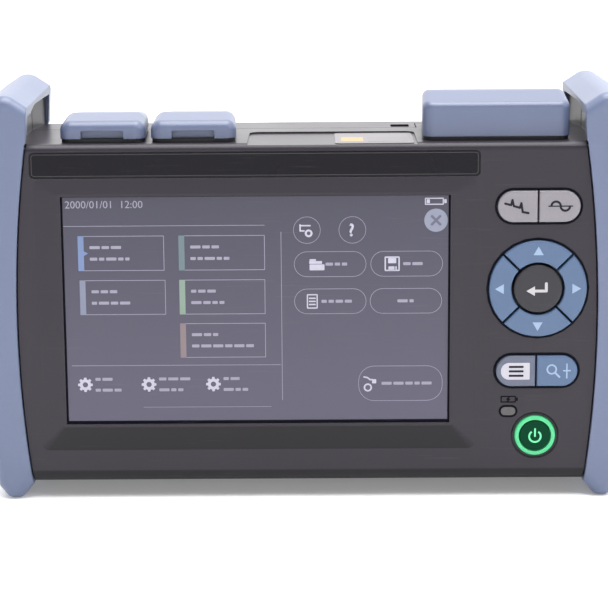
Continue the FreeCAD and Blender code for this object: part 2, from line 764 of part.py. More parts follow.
def pill_half(z, side):
    """Left (-1) or right (+1) half of a pair of keys, with flange and stem."""
    split = keypad_x - pill_width / 2 + pill_left
    far = split + side * pill_width
    x0, x1 = sorted((split + side * pill_slot, far))
    half_space = box(x0, x1, front_y - 5, back_y, z - pill_height, z + pill_height)
    cap = pill_y(keypad_x, z, pill_width, pill_height, key_face, flange_front + 0.1).common(half_space)
    cap = key_edges(cap, key_face)
    flange = pill_y(keypad_x, z, pill_width + 2 * flange_out, pill_height + 2 * flange_out,
                    flange_front, flange_front + flange_thick).common(half_space)
    stem_x = (keypad_x - pill_width / 2 + split) / 2 if side < 0 else \
        (keypad_x + pill_width / 2 + split) / 2
    stem = rod_y(stem_x, z, dome_r - 0.4, flange_front, stem_end)
    return joined([cap, flange, stem]), (stem_x, z)


def arrow_key(angle):
    """Quarter-ring key that points along angle, in degrees from +X towards +Z."""
    cap = ring_sector(dpad_inner_r, dpad_r, key_face, flange_front + 0.1, angle, dpad_split)
    cap = key_edges(cap, key_face)
    flange = ring_sector(dpad_inner_r + 1.2, dpad_r + key_gap + flange_out, flange_front,
                         flange_front + flange_thick, angle, dpad_split)
    r = (dpad_inner_r + dpad_r) / 2 + 0.8
    x = keypad_x + r * math.cos(math.radians(angle))
    z = dpad_z + r * math.sin(math.radians(angle))
    stem = rod_y(x, z, dome_r - 0.4, flange_front, stem_end)
    return joined([cap, flange, stem]), (x, z)


def enter_key():
    """Round key inside the ring of arrow keys."""
    flange_y = flange_front + flange_thick + key_travel + 0.3
    cap = rod_y(keypad_x, dpad_z, enter_r, key_face - 0.1, flange_y + 0.1)
    cap = key_edges(cap, key_face - 0.1)
    flange = rod_y(keypad_x, dpad_z, enter_flange_r, flange_y, flange_y + 0.8)
    stem = rod_y(keypad_x, dpad_z, dome_r - 0.4, flange_y, stem_end)
    return joined([cap, flange, stem]), (keypad_x, dpad_z)


def power_key():
    """Round key inside the lit ring."""
    cap = rod_y(power_x, power_z, power_r, key_face + 0.3, flange_front + 0.1)
    cap = key_edges(cap, key_face + 0.3)
    flange = rod_y(power_x, power_z, power_r + 0.7, flange_front + 1.3, flange_front + 2.2)
    neck = rod_y(power_x, power_z, power_r, flange_front, flange_front + 1.4)
    stem = rod_y(power_x, power_z, dome_r - 0.4, flange_front, stem_end)
    return joined([cap, neck, flange, stem]), (power_x, power_z)


def power_ring():
    """Clear ring round the power key, pushed in from behind."""
    outer = rod_y(power_x, power_z, power_ring_r, key_face + 0.45, flange_front + 1.0)
    collar = rod_y(power_x, power_z, power_ring_r + 0.9, inner_front + 0.02, flange_front + 1.0)
    inner = rod_y(power_x, power_z, power_r + 0.25, front_y - 2, 0)
    return key_edges(joined([outer, collar]), key_face + 0.45).cut(inner)


def charge_light():
    """Clear pipe that brings the charge light to the front."""
    head = pill_y(led_x, led_z, led_width, led_height, case_front - 0.15, inner_front + 0.1)
    rod = rod_y(led_x, led_z, 1.0, inner_front, key_board_y)
    return joined([head, rod])


def key_domes(places):
    """Snap domes on the keypad's board, one under each key."""
    domes = []
    for x, z in places:
        cap_r = (dome_r ** 2 + dome_height ** 2) / (2 * dome_height)
        ball = Part.makeSphere(cap_r, V(x, dome_top + cap_r, z))
        domes.append(ball.common(rod_y(x, z, dome_r, dome_top - 1, key_board_y)))
    return Part.Compound(domes)


def key_board():
    """Circuit board behind the keys."""
    x0 = screen_x + lcd_width / 2 + 1.6
    back = key_board_y + board_thick
    board = slab_y(x0, edge_middle - 0.6, power_z - 2.6, upper_pill_z + 7.5, 1.5, key_board_y, back)
    chips = [box(x0 + 6, x0 + 16, back, back + 1.2, dpad_z - 16.2, dpad_z - 6.2),
             box(x0 + 4, x0 + 22, back, back + 3.4, power_z + 3.8, power_z + 7.8)]
    return joined([board] + chips)


# ================================================================== boards, optics, battery
def main_board_piece():
    """Main circuit board with its chips and connector headers."""
    x0, x1, z0, z1 = main_board
    back = main_board_y + board_thick
    board = slab_y(x0, x1, z0, z1, 2.0, main_board_y, back)
    parts = [board]
    for dx, dz, w, h, t in ((-5, 4, 14, 14, 1.6), (-5, -10, 12, 9, 1.1), (9, 6, 8, 12, 1.1),
                            (8.5, -8.5, 10, 10, 2.4), (2, z1 - 14 - tray_z, 16, 5, 5.2),
                            (x1 - 12 - tray_x, z1 - 8 - tray_z, 12, 5, 5.2)):
        x, z = tray_x + dx, tray_z + dz
        parts.append(box(x - w / 2, x + w / 2, back, back + t, z - h / 2, z + h / 2))
    for i in range(5):
        parts.append(rod_y(tray_x - 16.0 + 8.0 * i, z0 + 5.0, 3.0, back, back + 7.0))
    return joined(parts)


def usb_socket(x, size, tongue):
    """Metal shell of a socket, open at the top, with its tongue."""
    sx, sy, sz = size
    top = body_top - 0.4
    y = socket_y(sy)
    r = min(0.5, sy / 4) if tongue > 1 else sy / 2 - 0.05
    shell = slab_z(x - sx / 2, x + sx / 2, y - sy / 2, y + sy / 2, r, top - sz, top)
    t = 0.35
    mouth = slab_z(x - sx / 2 + t, x + sx / 2 - t, y - sy / 2 + t, y + sy / 2 - t, max(r - t, 0.15),
                   top - sz + 2.0, top + 1)
    blade = box(x - sx / 2 + 1.0, x + sx / 2 - 1.0, y - tongue / 2, y + tongue / 2, top - sz + 1,
                top - 1.0)
    return joined([shell.cut(mouth), blade])


def sc_adapter():
    """Square push-pull optical adapter, with its flange under the top wall."""
    x = port_xs[0]
    ax, ay = adapter_size
    kx, ky = adapter_key_size
    fx, fy, ft = flange_size
    base = inner_top - seat_gap
    body = slab_z(x - ax / 2, x + ax / 2, port_y - ay / 2, port_y + ay / 2, 0.6,
                  optical_module[5] + seat_gap, body_top + port_rise)
    plate = slab_z(x - fx / 2, x + fx / 2, port_y - fy / 2, port_y + fy / 2, 1.0, base - ft, base)
    mouth = box(x - kx / 2, x + kx / 2, port_y - ky / 2, port_y + ky / 2, body_top - 3.0,
                body_top + port_rise + 1)
    keyway = box(x - 1.2, x + 1.2, port_y - ay / 2 - 1, port_y, body_top + 1.0, body_top + port_rise + 1)
    sleeve = rod_z(x, port_y, 1.9, body_top - 4.0, body_top + port_rise - 2.5)
    bore = rod_z(x, port_y, ferrule_bore_r, body_top - 3.0, body_top + port_rise)
    form = joined([body, plate]).cut(Part.Compound([mouth, keyway]))
    return joined([form, sleeve]).cut(bore)


def laser_adapter():
    """Round port for a 2.5 mm ferrule, for the visible light source."""
    x = port_xs[1]
    fx, fy, ft = flange_size
    base = inner_top - seat_gap
    top = body_top + port_rise
    body = rod_z(x, port_y, laser_port_r, optical_module[5] + seat_gap, top)
    body = soften(body, 0.5, lambda p: near(p.z, top))
    collar = rod_z(x, port_y, laser_port_r + 0.9, body_top + 1.2, body_top + 3.4)
    plate = slab_z(x - fx / 2, x + fx / 2, port_y - fy / 2, port_y + fy / 2, 1.0, base - ft, base)
    bore = rod_z(x, port_y, ferrule_bore_r, top - ferrule_bore_depth, top + 1)
    return joined([body, collar, plate]).cut(bore)


def optical_unit():
    """Finned metal box with the laser, the detector and the coupler."""
    x0, x1, y0, y1, z0, z1 = optical_module
    unit = slab_y(x0, x1, z0, z1, 2.0, y0, y1)
    fins = [box(x0 + 4 + 4.4 * i, x0 + 6.2 + 4.4 * i, y1 - 2.4, y1 + 1, z0 + 4, z1 - 4) for i in range(8)]
    return unit.cut(Part.Compound(fins))


def fibre_pieces():
    """Tray and the coil of fibre that lies in it."""
    r = coil_r + coil_thick / 2 + coil_clear
    y1 = tray_y + tray_depth
    outer = rod_y(tray_x, tray_z, r + tray_wall, tray_y, y1)
    inner = rod_y(tray_x, tray_z, r, tray_y + tray_wall, y1 + 1)
    hub = rod_y(tray_x, tray_z, coil_r - coil_thick / 2 - 0.6, tray_y, y1)
    core = rod_y(tray_x, tray_z, coil_r - coil_thick / 2 - 2.0, tray_y - 1, y1 + 1)
    out = (r - 1.5) / math.sqrt(2)
    feet = [rod_y(tray_x + dx, tray_z + dz, 2.6, main_board_y + board_thick, tray_y + 0.2)
            for dx in (-out, out) for dz in (-out, out)]
    tray = joined([outer.cut(inner), hub] + feet).cut(core)
    coil_y = tray_y + tray_wall + coil_thick / 2
    coil = Part.makeTorus(coil_r, coil_thick / 2 - 0.2, V(tray_x, coil_y, tray_z), V(0, 1, 0))
    return {"fibre_tray": tray, "fibre_coil": coil}


def battery_pieces():
    """Two-cell pack, its door with captive screws, and the spring contacts."""
    x0, x1 = cell_x - cell_width / 2, cell_x + cell_width / 2
    z0, z1 = cell_z - cell_height / 2, cell_z + cell_height / 2
    r = cell_depth / 2 - 0.4
    pack = slab_z(x0, x1, cell_front, cell_back, r, z0, z1)
    pack = soften(pack, 1.0, lambda p: near(p.z, z0) or near(p.z, z1))
    door = door_plate(0)
    grips = [box(cell_x - 9, cell_x + 9, case_back - 0.5, case_back + 1, bay_z1 - 6 - 2.6 * i,
                 bay_z1 - 4.8 - 2.6 * i) for i in range(4)]
    holes = []
    screws = []
    for x, z in door_screw_places():
        holes.append(rod_y(x, z, screw_r + 0.2, inner_back, case_back + 1))
        holes.append(rod_y(x, z, door_screw_r + 0.15, case_back - 0.9, case_back + 1))
        head = rod_y(x, z, door_screw_r, case_back - 0.8, case_back - 0.1)
        slot = box(x - 3, x + 3, case_back - 0.5, case_back + 1, z - 0.4, z + 0.4)
        screws.append(joined([head.cut(slot), rod_y(x, z, screw_r, case_back - 5.6, case_back - 0.7)]))
    door = door.cut(Part.Compound(grips + holes))
    blades = []
    for dx in (-9.0, 0.0, 9.0):
        blades.append(prism_x([(cell_front - bay_gap + 0.4, z0 - 0.3), (cell_front + 6, z0 - 0.3),
                               (cell_front + 6, z0 - 0.05), (cell_front - bay_gap + 0.4, z0 - 0.05)],
                              cell_x + dx - 1.5, cell_x + dx + 1.5))
    return {"battery_pack": pack, "battery_door": door, "battery_door_screws": Part.Compound(screws),
            "battery_contacts": Part.Compound(blades)}


# ================================================================== covers
def cover_plan(x, is_large, inset, z0, z1):
    """Upright block on a cover's footprint, which is narrower at the back."""
    width, front, back = cover_size(is_large)
    wide = width / 2 - inset
    slim = wide - cover_lean * (back - front)
    block = prism_z([(x - wide, front + inset), (x + wide, front + inset), (x + slim, back - inset),
                     (x - slim, back - inset)], z0, z1)
    return soften(block, cover_corner - inset, lambda p: near(p.z, (z0 + z1) / 2))


def cover_form(x, is_large, inset):
    """Outside of a cover, with a ridge across its top, or the room inside when inset."""
    _, front, back = cover_size(is_large)
    rises = (large_cover_height, large_cover_crest, large_cover_heel) if is_large else \
        (small_cover_height, small_cover_crest, small_cover_heel)
    edge, crest, heel = [cover_base + rise - inset for rise in rises]
    foot = cover_base - inset
    ridge = front + crest_place
    block = prism_x([(front, foot), (front, edge), (ridge, crest), (back, heel), (back, foot)],
                    x - beyond, x + beyond)
    block = soften(block, crest_round, lambda p: near(p.y, ridge) and near(p.z, crest))
    return block.common(cover_plan(x, is_large, inset, foot, crest + 1))


def port_cover(x, is_large):
    """Lid over the connectors: ridged shell, narrower at the back, with two knuckles there."""
    _, front, back = cover_size(is_large)
    radius = large_cover_round if is_large else small_cover_round
    heel = large_cover_heel if is_large else small_cover_heel
    z0 = cover_base
    form = cover_form(x, is_large, 0)

    def rim(p):
        return p.z > z0 + heel - 0.1 and (abs(p.x - x) > 1 or near(p.y, front) or near(p.y, back))

    form = soften(form, radius, rim)
    form = form.cut(cover_form(x, is_large, cover_wall))
    y, z = hinge_place(is_large)
    parts = [form]
    for side in (-1, 1):
        edge = x + side * (lug_width(is_large) / 2 + lug_gap)
        x0, x1 = sorted((edge, edge + side * knuckle_width))
        points = [(back - 0.6, z0 + 0.02), (back - 0.6, z + knuckle_r), (y, z + knuckle_r),
                  (y + knuckle_r, z, 0), (y, z - knuckle_r), (y - 0.6, z0 + 0.02)]
        parts.append(prism_x(points, x0, x1))
    lid = joined(parts).cut(rod_x(y, z, pin_r + pin_gap, x - beyond, x + beyond))
    if is_large:
        return lid
    lid = lid.cut(slab_y(x - grip_width / 2, x + grip_width / 2, z0 - 2, z0 + grip_height, 0.6,
                         front - 1, front + grip_deep))
    half = grip_width / 2 + 0.9
    inner = box(x - half, x + half, front + grip_deep, front + grip_deep + 0.9, z0, z0 + grip_height + 0.9)
    roof = box(x - half, x + half, front + cover_wall - 0.2, front + grip_deep + 0.9, z0 + grip_height,
               z0 + grip_height + 0.9)
    return joined([lid, inner, roof])


def cover_seal(x, is_large):
    """Rubber rim under a cover."""
    z0, z1 = body_top + cover_gap, cover_base
    outer = cover_plan(x, is_large, seal_inset, z0, z1)
    return outer.cut(cover_plan(x, is_large, seal_inset + seal_width, z0 - 1, z1 + 1))


def cover_pin(x, is_large):
    """Hinge pin of a cover."""
    y, z = hinge_place(is_large)
    half = lug_width(is_large) / 2 + lug_gap + knuckle_width - 0.2
    return rod_x(y, z, pin_r, x - half, x + half)


# ================================================================== stand
def kickstand():
    """Folding leg on the back, with a barrel round its pin and ribs inside."""
    half = stand_width / 2
    y0, y1 = stand_axis_y - stand_thick / 2, stand_axis_y + stand_thick / 2
    leg = slab_y(-half, half, stand_foot, stand_top + 0.01, 4.0, y0, y1)
    leg = joined([leg.cut(box(-half - 1, half + 1, y0 - 1, y1 + 1, stand_top, stand_top + 5)),
                  box(-half, half, y0, y1, stand_top - 6, stand_top)])
    barrel = rod_x(stand_axis_y, stand_top, stand_thick / 2, -half, half)
    rim = 4.5
    cell = (stand_width - 2 * rim - 3 * 2.0) / 4
    pockets = []
    for i in range(4):
        x0 = -half + rim + i * (cell + 2.0)
        pockets.append(slab_y(x0, x0 + cell, stand_foot + 8, stand_top - 8, 2.0, y0 - 1,
                              y1 - stand_rib - 0.6))
    lines = [box(-half + 6, half - 6, y1 - 0.4, y1 + 1, stand_foot + 5.0 + 2.2 * i,
                 stand_foot + 6.0 + 2.2 * i) for i in range(4)]
    leg = joined([leg, barrel]).cut(Part.Compound(pockets + lines))
    return leg.cut(rod_x(stand_axis_y, stand_top, stand_pin_r + pin_gap, -half - 1, half + 1))


def stand_pin():
    """Steel pin of the stand, held in the recess's two side walls."""
    half = stand_width / 2 + stand_gap + wall - 0.8
    return rod_x(stand_axis_y, stand_top, stand_pin_r, -half, half)


# ================================================================== trim and screws
def name_strip():
    """Bare inlay in the pocket above the screen."""
    g = strip_gap
    return slab_y(strip_x0 + g, strip_x1 - g, strip_z - strip_height / 2 + g,
                  strip_z + strip_height / 2 - g, strip_round - g, case_front + 0.1,
                  case_front + strip_deep)


def label_plate():
    """Bare foil in the pocket of the top face."""
    width, long = label_size
    y1 = case_front + pocket_length - 1.6
    return slab_z(pocket_x1 - 0.9 - width, pocket_x1 - 0.9, y1 - long, y1, 1.6, body_top - label_deep,
                  body_top - label_deep + label_thick)


def case_screws():
    """Four screws that pull the two shells together."""
    screws = []
    for x, z in screw_places:
        y1 = case_back - 0.4
        head = rod_y(x, z, screw_head_r, y1 - screw_head, y1)
        for across, up in ((2.0, screw_slot / 2), (screw_slot / 2, 2.0)):
            head = head.cut(box(x - across, x + across, y1 - 1.2, y1 + 1, z - up, z + up))
        screws.append(joined([head, rod_y(x, z, screw_r, seam_y - screw_bite, y1 - screw_head + 0.2)]))
    return Part.Compound(screws)


def main():
    """Build every piece and write it to its own file."""
    pieces = {"front_case": front_case(), "rear_case": rear_case()}
    pieces["case_seal"] = seal_ring(0.05)
    pieces["right_bumper"] = right_bumper()
    pieces["left_bumper"] = mirror_x(pieces["right_bumper"])
    pieces.update(display_pieces())
    stems = []
    halves = {"real_time_key": (upper_pill_z, -1), "average_key": (upper_pill_z, 1),
              "menu_key": (lower_pill_z, -1), "zoom_key": (lower_pill_z, 1)}
    for name, (z, side) in halves.items():
        pieces[name], stem = pill_half(z, side)
        stems.append(stem)
    for name, angle in {"right_key": 0, "up_key": 90, "left_key": 180, "down_key": 270}.items():
        pieces[name], stem = arrow_key(angle)
        stems.append(stem)
    pieces["enter_key"], stem = enter_key()
    stems.append(stem)
    pieces["power_key"], stem = power_key()
    stems.append(stem)
    pieces["key_domes"] = key_domes(stems)
    pieces["key_board"] = key_board()
    pieces["power_light_ring"] = power_ring()
    pieces["charge_light_pipe"] = charge_light()
    pieces["main_board"] = main_board_piece()
    pieces["usb_socket"] = usb_socket(small_cover_xs[0], usb_size, 1.8)
    pieces["power_socket"] = usb_socket(small_cover_xs[1], usb_c_size, 0.8)
    pieces["otdr_port_adapter"] = sc_adapter()
    pieces["laser_port_adapter"] = laser_adapter()
    pieces["optical_module"] = optical_unit()
    pieces.update(fibre_pieces())
    pieces.update(battery_pieces())
    for name, (x, is_large) in zip(("usb", "power_socket", "optical_port"), covers):
        pieces[name + "_cover"] = port_cover(x, is_large)
        pieces[name + "_cover_seal"] = cover_seal(x, is_large)
        pieces[name + "_cover_pin"] = cover_pin(x, is_large)
    pieces["kickstand"] = kickstand()
    pieces["kickstand_pin"] = stand_pin()
    pieces["name_strip"] = name_strip()
    pieces["label_plate"] = label_plate()
    pieces["case_screws"] = case_screws()
    os.makedirs("parts", exist_ok=True)
    for name, shape in pieces.items():
        shape.exportStep(os.path.join("parts", name + ".step"))
        print(f"{name:22s} solids {len(shape.Solids)} volume {shape.Volume:9.1f} valid {shape.isValid()}")


main()
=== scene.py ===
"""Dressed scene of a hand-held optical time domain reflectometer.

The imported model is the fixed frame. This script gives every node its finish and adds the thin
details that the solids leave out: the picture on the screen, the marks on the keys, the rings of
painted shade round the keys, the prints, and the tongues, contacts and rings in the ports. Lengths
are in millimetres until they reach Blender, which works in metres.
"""
import logging
import math
import random
from dataclasses import dataclass, field, replace
from enum import Enum
from typing import Callable, Sequence

import bmesh
import bpy
from mathutils import Matrix, Vector


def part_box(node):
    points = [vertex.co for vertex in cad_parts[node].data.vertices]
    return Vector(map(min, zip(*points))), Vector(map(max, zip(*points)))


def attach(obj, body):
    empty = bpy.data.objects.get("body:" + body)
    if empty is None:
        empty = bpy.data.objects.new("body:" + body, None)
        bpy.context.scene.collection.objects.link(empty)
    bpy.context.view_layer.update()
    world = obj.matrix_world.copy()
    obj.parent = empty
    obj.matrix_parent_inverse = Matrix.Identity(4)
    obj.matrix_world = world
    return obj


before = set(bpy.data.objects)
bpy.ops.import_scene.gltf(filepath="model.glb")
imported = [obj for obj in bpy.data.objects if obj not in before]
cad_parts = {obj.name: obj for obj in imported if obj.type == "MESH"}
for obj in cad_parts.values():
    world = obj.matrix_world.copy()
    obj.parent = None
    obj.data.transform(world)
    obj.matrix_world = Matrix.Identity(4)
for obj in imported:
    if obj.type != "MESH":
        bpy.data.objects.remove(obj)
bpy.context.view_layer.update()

MM = 0.001
# how far the back of a print, and of a trim, lies inside the face that carries it
SUNK = 0.03
TRIM_SUNK = 0.02
# how far in front of a node a ray starts
AHEAD = 5.0
LOG = logging.getLogger("reflectometer")
Point = tuple[float, float]
Colour = tuple[float, float, float]
ScreenColour = tuple[int, int, int]
Mesh = bpy.types.Object
Socket = bpy.types.NodeSocket


def linear(*channels: int) -> Colour:
    """Turn a screen colour of 0 to 255 into linear light of 0 to 1."""
    shares = [channel / 255 for channel in channels]
    return tuple(s / 12.92 if s <= 0.04045 else ((s + 0.055) / 1.055) ** 2.4 for s in shares)


def span(node: str, axis: int) -> Point:
    """Lowest and highest place of a CAD node along an axis: 0, 1 or 2 for X, Y or Z."""
    low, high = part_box(node)
    return low[axis] / MM, high[axis] / MM


def middle(node: str) -> tuple[float, float, float]:
    """Middle of a CAD node's box."""
    return tuple(sum(span(node, axis)) / 2 for axis in range(3))


# ---- shader nodes
class NodeKit:
    """Adds nodes and links to a material's or a group's node tree."""

    def __init__(self, tree: bpy.types.NodeTree) -> None:
        """Start on an empty tree."""
        self.tree = tree
        tree.nodes.clear()

    def add(self, kind: str, **settings: object) -> bpy.types.Node:
        """Add one node.

        Args:
            kind: Blender's type name.
            settings: attributes of the node, or what feeds an input where the name starts with in_.

        Returns:
            The new node.
        """
        node = self.tree.nodes.new(kind)
        for key, value in settings.items():
            if key.startswith("in_"):
                self.feed(value, node.inputs[key[3:].replace("_", " ")])
            else:
                setattr(node, key, value)
        return node

    def feed(self, value: object, target: Socket) -> None:
        """Link a socket to an input, or set the input.

        Args:
            value: socket, number, vector or colour.
            target: the input.
        """
        if isinstance(value, Socket):
            self.tree.links.new(value, target)
        else:
            target.default_value = (*value, 1.0) if target.type == "RGBA" else value

    def along(self, output: str, axis: str) -> Socket:
        """One axis of an output of Texture Coordinate."""
        coordinates = self.add("ShaderNodeTexCoord").outputs[output]
        return self.add("ShaderNodeSeparateXYZ", in_Vector=coordinates).outputs[axis]

    def scaled(self, value: object, factor: object, more: object = 0.0) -> Socket:
        """Multiply a value and add to it.

        Args:
            value: socket or number.
            factor: socket or number.
            more: socket or number that is added.

        Returns:
            The result.
        """
        node = self.add("ShaderNodeMath", operation="MULTIPLY_ADD")
        for given, target in zip((value, factor, more), node.inputs):
            self.feed(given, target)
        return node.outputs[0]

    def ramp(self, factor: Socket, low: float, high: float, start: float = 0.0,
             end: float = 1.0) -> Socket:
        """Map a value from the range low to high to the range start to end, clamped."""
        return self.add("ShaderNodeMapRange", in_Value=factor, in_From_Min=low, in_From_Max=high,
                        in_To_Min=start, in_To_Max=end).outputs["Result"]

    def mix(self, factor: Socket, first: object, second: object) -> Socket:
        """Blend two colours.

        Args:
            factor: share of the second, 0 to 1.
            first: colour or socket at 0.
            second: colour or socket at 1.

        Returns:
            The blended colour.
        """
        node = self.add("ShaderNodeMix", data_type="RGBA")
        for given, place in ((factor, 0), (first, 6), (second, 7)):
            self.feed(given, node.inputs[place])
        return node.outputs[2]


class Effect:
    """Surface effect that materials share, built once as a node group."""

    name = ""
    given: dict[str, float] = {}
    results: tuple[str, ...] = ()

    def __init__(self) -> None:
        """Build the group's ends and what lies between them."""
        self.tree = bpy.data.node_groups.new(self.name, "ShaderNodeTree")
        face = self.tree.interface
        for name, value in self.given.items():
            made = face.new_socket(name=name, in_out="INPUT", socket_type="NodeSocketFloat")
            made.default_value = value
        for name in self.results:
            face.new_socket(name=name, in_out="OUTPUT", socket_type="NodeSocketFloat")
        self.kit = NodeKit(self.tree)
        self.start = self.kit.add("NodeGroupInput").outputs
        self.end = self.kit.add("NodeGroupOutput").inputs
        self.place = self.kit.add("ShaderNodeTexCoord").outputs["Object"]
        self.fill()

    def noise(self, scale: object, detail: float, **settings: float) -> Socket:
        """Noise over the object's own coordinates."""
        settings = {"in_Vector": self.place, **settings}
        return self.kit.add("ShaderNodeTexNoise", in_Scale=scale, in_Detail=detail, **settings).outputs[0]

    def fill(self) -> None:
        """Add the nodes between the group's ends."""


class Grain(Effect):
    """Fine pebbled surface of moulded plastic, with a slow change of tone."""

    name = "moulded_grain"
    given = {"Scale": 2600.0}
    results = ("Height", "Tone")

    def fill(self) -> None:
        """Mix pebbles with fine noise for the height, and fine with slow noise for the tone."""
        kit, scale = self.kit, self.start["Scale"]
        pebbles = kit.add("ShaderNodeTexVoronoi", feature="SMOOTH_F1", in_Smoothness=0.6,
                          in_Vector=self.place, in_Scale=scale).outputs["Distance"]
        fine = self.noise(kit.scaled(scale, 0.62), 3.0, in_Roughness=0.55)
        slow = self.noise(28.0, 3.0, in_Roughness=0.6)
        kit.feed(kit.scaled(pebbles, 0.6, kit.scaled(fine, 0.6)), self.end["Height"])
        tone = kit.scaled(fine, 0.45, kit.scaled(slow, 0.55))
        kit.feed(kit.ramp(tone, 0.32, 0.68), self.end["Tone"])


class Handling(Effect):
    """Wiped patches and hairline scratches that change how shiny a face is."""

    name = "handling_marks"
    given = {"Scratches": 0.3}
    results = ("Patch", "Scratch")
    turn = (0.35, 0.5, 0.7)
    stretch = (60.0, 60.0, 1800.0)

    def fill(self) -> None:
        """Make broad patches, and hairs from noise that is drawn out along one way."""
        kit = self.kit
        patch = self.noise(36.0, 5.0, in_Distortion=0.6)
        drawn_out = kit.add("ShaderNodeMapping", in_Rotation=self.turn, in_Scale=self.stretch,
                            in_Vector=self.place).outputs[0]
        hair = kit.ramp(self.noise(1.0, 2.0, in_Vector=drawn_out), 0.66, 0.74)
        kit.feed(kit.ramp(patch, 0.35, 0.7), self.end["Patch"])
        kit.feed(kit.scaled(hair, self.start["Scratches"]), self.end["Scratch"])


class Dust(Effect):
    """Thin dust on faces that look up."""

    name = "settled_dust"
    given = {"Amount": 0.1}
    results = ("Mask",)

    def fill(self) -> None:
        """Make specks, thinner the less a face looks up."""
        kit = self.kit
        amount = kit.scaled(kit.ramp(kit.along("Normal", "Z"), 0.35, 1.0), self.start["Amount"])
        specks = kit.ramp(self.noise(900.0, 4.0, in_Roughness=0.8), 0.5, 0.75)
        kit.feed(kit.scaled(amount, kit.scaled(specks, 1.0, 0.35)), self.end["Mask"])


GRAIN, HANDLING, DUST = Grain().tree, Handling().tree, Dust().tree
MADE: dict[str, bpy.types.Material] = {}


# ---- finishes
@dataclass(frozen=True)
class Finish:
    """A surface: colour as on a screen, gloss, grain and light wear."""

    name: str
    colour: ScreenColour
    roughness: float = 0.45
    metallic: float = 0.0
    grain_scale: float = 2600.0
    grain_depth: float = 0.02
    tone: float = 0.05
    gloss_change: float = 0.04
    scratches: float = 0.04
    dust: float = 0.02
    edge: float = 0.0
    coat: float = 0.0
    specular: float = 0.5
    glow: float = 0.0
    scratch_colour: Colour = (0.6, 0.6, 0.62)
    scratch_pales: float = 0.35
    scratch_dulls: float = 0.1
    dust_colour: Colour = (0.5, 0.49, 0.47)
    dust_dulls: float = 0.3

    def base(self, kit: NodeKit) -> object:
        """Base colour, or socket, that the surface starts from."""
        return linear(*self.colour)

    def shade(self, kit: NodeKit) -> Socket:
        """Fill a tree with the surface's nodes.

        Args:
            kit: tools for the material's tree.

        Returns:
            The surface.
        """
        grain = kit.add("ShaderNodeGroup", node_tree=GRAIN, in_Scale=self.grain_scale).outputs
        marks = kit.add("ShaderNodeGroup", node_tree=HANDLING, in_Scratches=self.scratches).outputs
        dust = kit.add("ShaderNodeGroup", node_tree=DUST, in_Amount=self.dust).outputs["Mask"]
        value = kit.ramp(grain["Tone"], 0.0, 1.0, 1.0 - self.tone, 1.0 + self.tone)
        toned = kit.add("ShaderNodeHueSaturation", in_Color=self.base(kit), in_Value=value).outputs[0]
        worn = kit.mix(kit.scaled(marks["Scratch"], self.scratch_pales), toned, self.scratch_colour)
        dusty = kit.mix(dust, worn, self.dust_colour)
        gloss = kit.scaled(marks["Patch"], self.gloss_change, self.roughness - self.gloss_change / 2)
        gloss = kit.scaled(marks["Scratch"], self.scratch_dulls, gloss)
        gloss = kit.scaled(dust, self.dust_dulls, gloss)
        bump = kit.add("ShaderNodeBump", in_Strength=1.0, in_Distance=self.grain_depth * MM,
                       in_Height=grain["Height"])
        if self.edge:
            rounded = kit.add("ShaderNodeBevel", samples=4, in_Radius=self.edge * MM)
            kit.feed(rounded.outputs[0], bump.inputs["Normal"])
        surface = kit.add("ShaderNodeBsdfPrincipled", in_Base_Color=dusty, in_Roughness=gloss,
                          in_Normal=bump.outputs[0], in_Metallic=self.metallic, in_Coat_Weight=self.coat,
                          in_Specular_IOR_Level=self.specular)
        if self.glow:
            kit.feed(dusty, surface.inputs["Emission Color"])
            kit.feed(self.glow, surface.inputs["Emission Strength"])
        return surface.outputs[0]

    def material(self) -> bpy.types.Material:
        """Make this finish's material once and hand it out after that.

        Returns:
            The material.
        """
        if self.name not in MADE:
            made = bpy.data.materials.new(f"{self.name}_finish")
            made.use_nodes = True
            kit = NodeKit(made.node_tree)
            kit.add("ShaderNodeOutputMaterial", in_Surface=self.shade(kit))
            made.diffuse_color = (*linear(*self.colour), 1.0)
            MADE[self.name] = made
        return MADE[self.name]


@dataclass(frozen=True)
class CaseFinish(Finish):
    """Moulded housing with painted shade: deeper in tone on faces that lean towards the floor."""

    # colour of the painted shade on faces that lean towards the floor
    under: ScreenColour = (24, 22, 27)

    def base(self, kit: NodeKit) -> Socket:
        """Painted shade: change of tone with the way a face leans, darker on faces that lean towards the
        floor.
        """
        # mask of the painted shade: faces that lean towards the floor
        lean = kit.ramp(kit.along("Normal", "Z"), -0.12, -0.02)
        return kit.mix(lean, linear(*self.under), linear(*self.colour))


@dataclass(frozen=True)
class ScreenFinish(Finish):
    """Lit screen under matt glass, with a painted reflection of the floor: lighter and warmer towards its
    foot.
    """

    # colour at the window's foot: the lit ground with the painted reflection of the floor
    low: ScreenColour = (70, 66, 87)

    def base(self, kit: NodeKit) -> Socket:
        """Slow change from foot to top: the lit ground with a painted reflection of the floor, strongest
        at the foot.

        Args:
            kit: tools for the material's tree.

        Returns:
            The colour.
        """
        foot, head = span("touch_panel", 2)
        # painted reflection of the floor, lighter towards the window's foot
        rise = kit.ramp(kit.along("Object", "Z"), foot * MM, head * MM)
        return kit.mix(rise, linear(*self.low), linear(*self.colour))


@dataclass(frozen=True)
class KeyFinish(Finish):
    """Fine-grained key with soft edges."""

    roughness: float = 0.4
    grain_scale: float = 3200
    grain_depth: float = 0.003
    edge: float = 0.35


@dataclass(frozen=True)
class MetalFinish(Finish):
    """Bare or plated metal."""

    roughness: float = 0.3
    metallic: float = 1.0
    grain_depth: float = 0.003


@dataclass(frozen=True)
class PrintFinish(Finish):
    """Print, foil or thin trim."""

    roughness: float = 0.5
    grain_depth: float = 0.002


@dataclass(frozen=True)
class ScreenInk(Finish):
    """Lit mark of the picture, seen through the window's matt face."""

    roughness: float = 0.4
    grain_scale: float = 900.0
    grain_depth: float = 0.0
    scratches: float = 0.05
    dust: float = 0.0
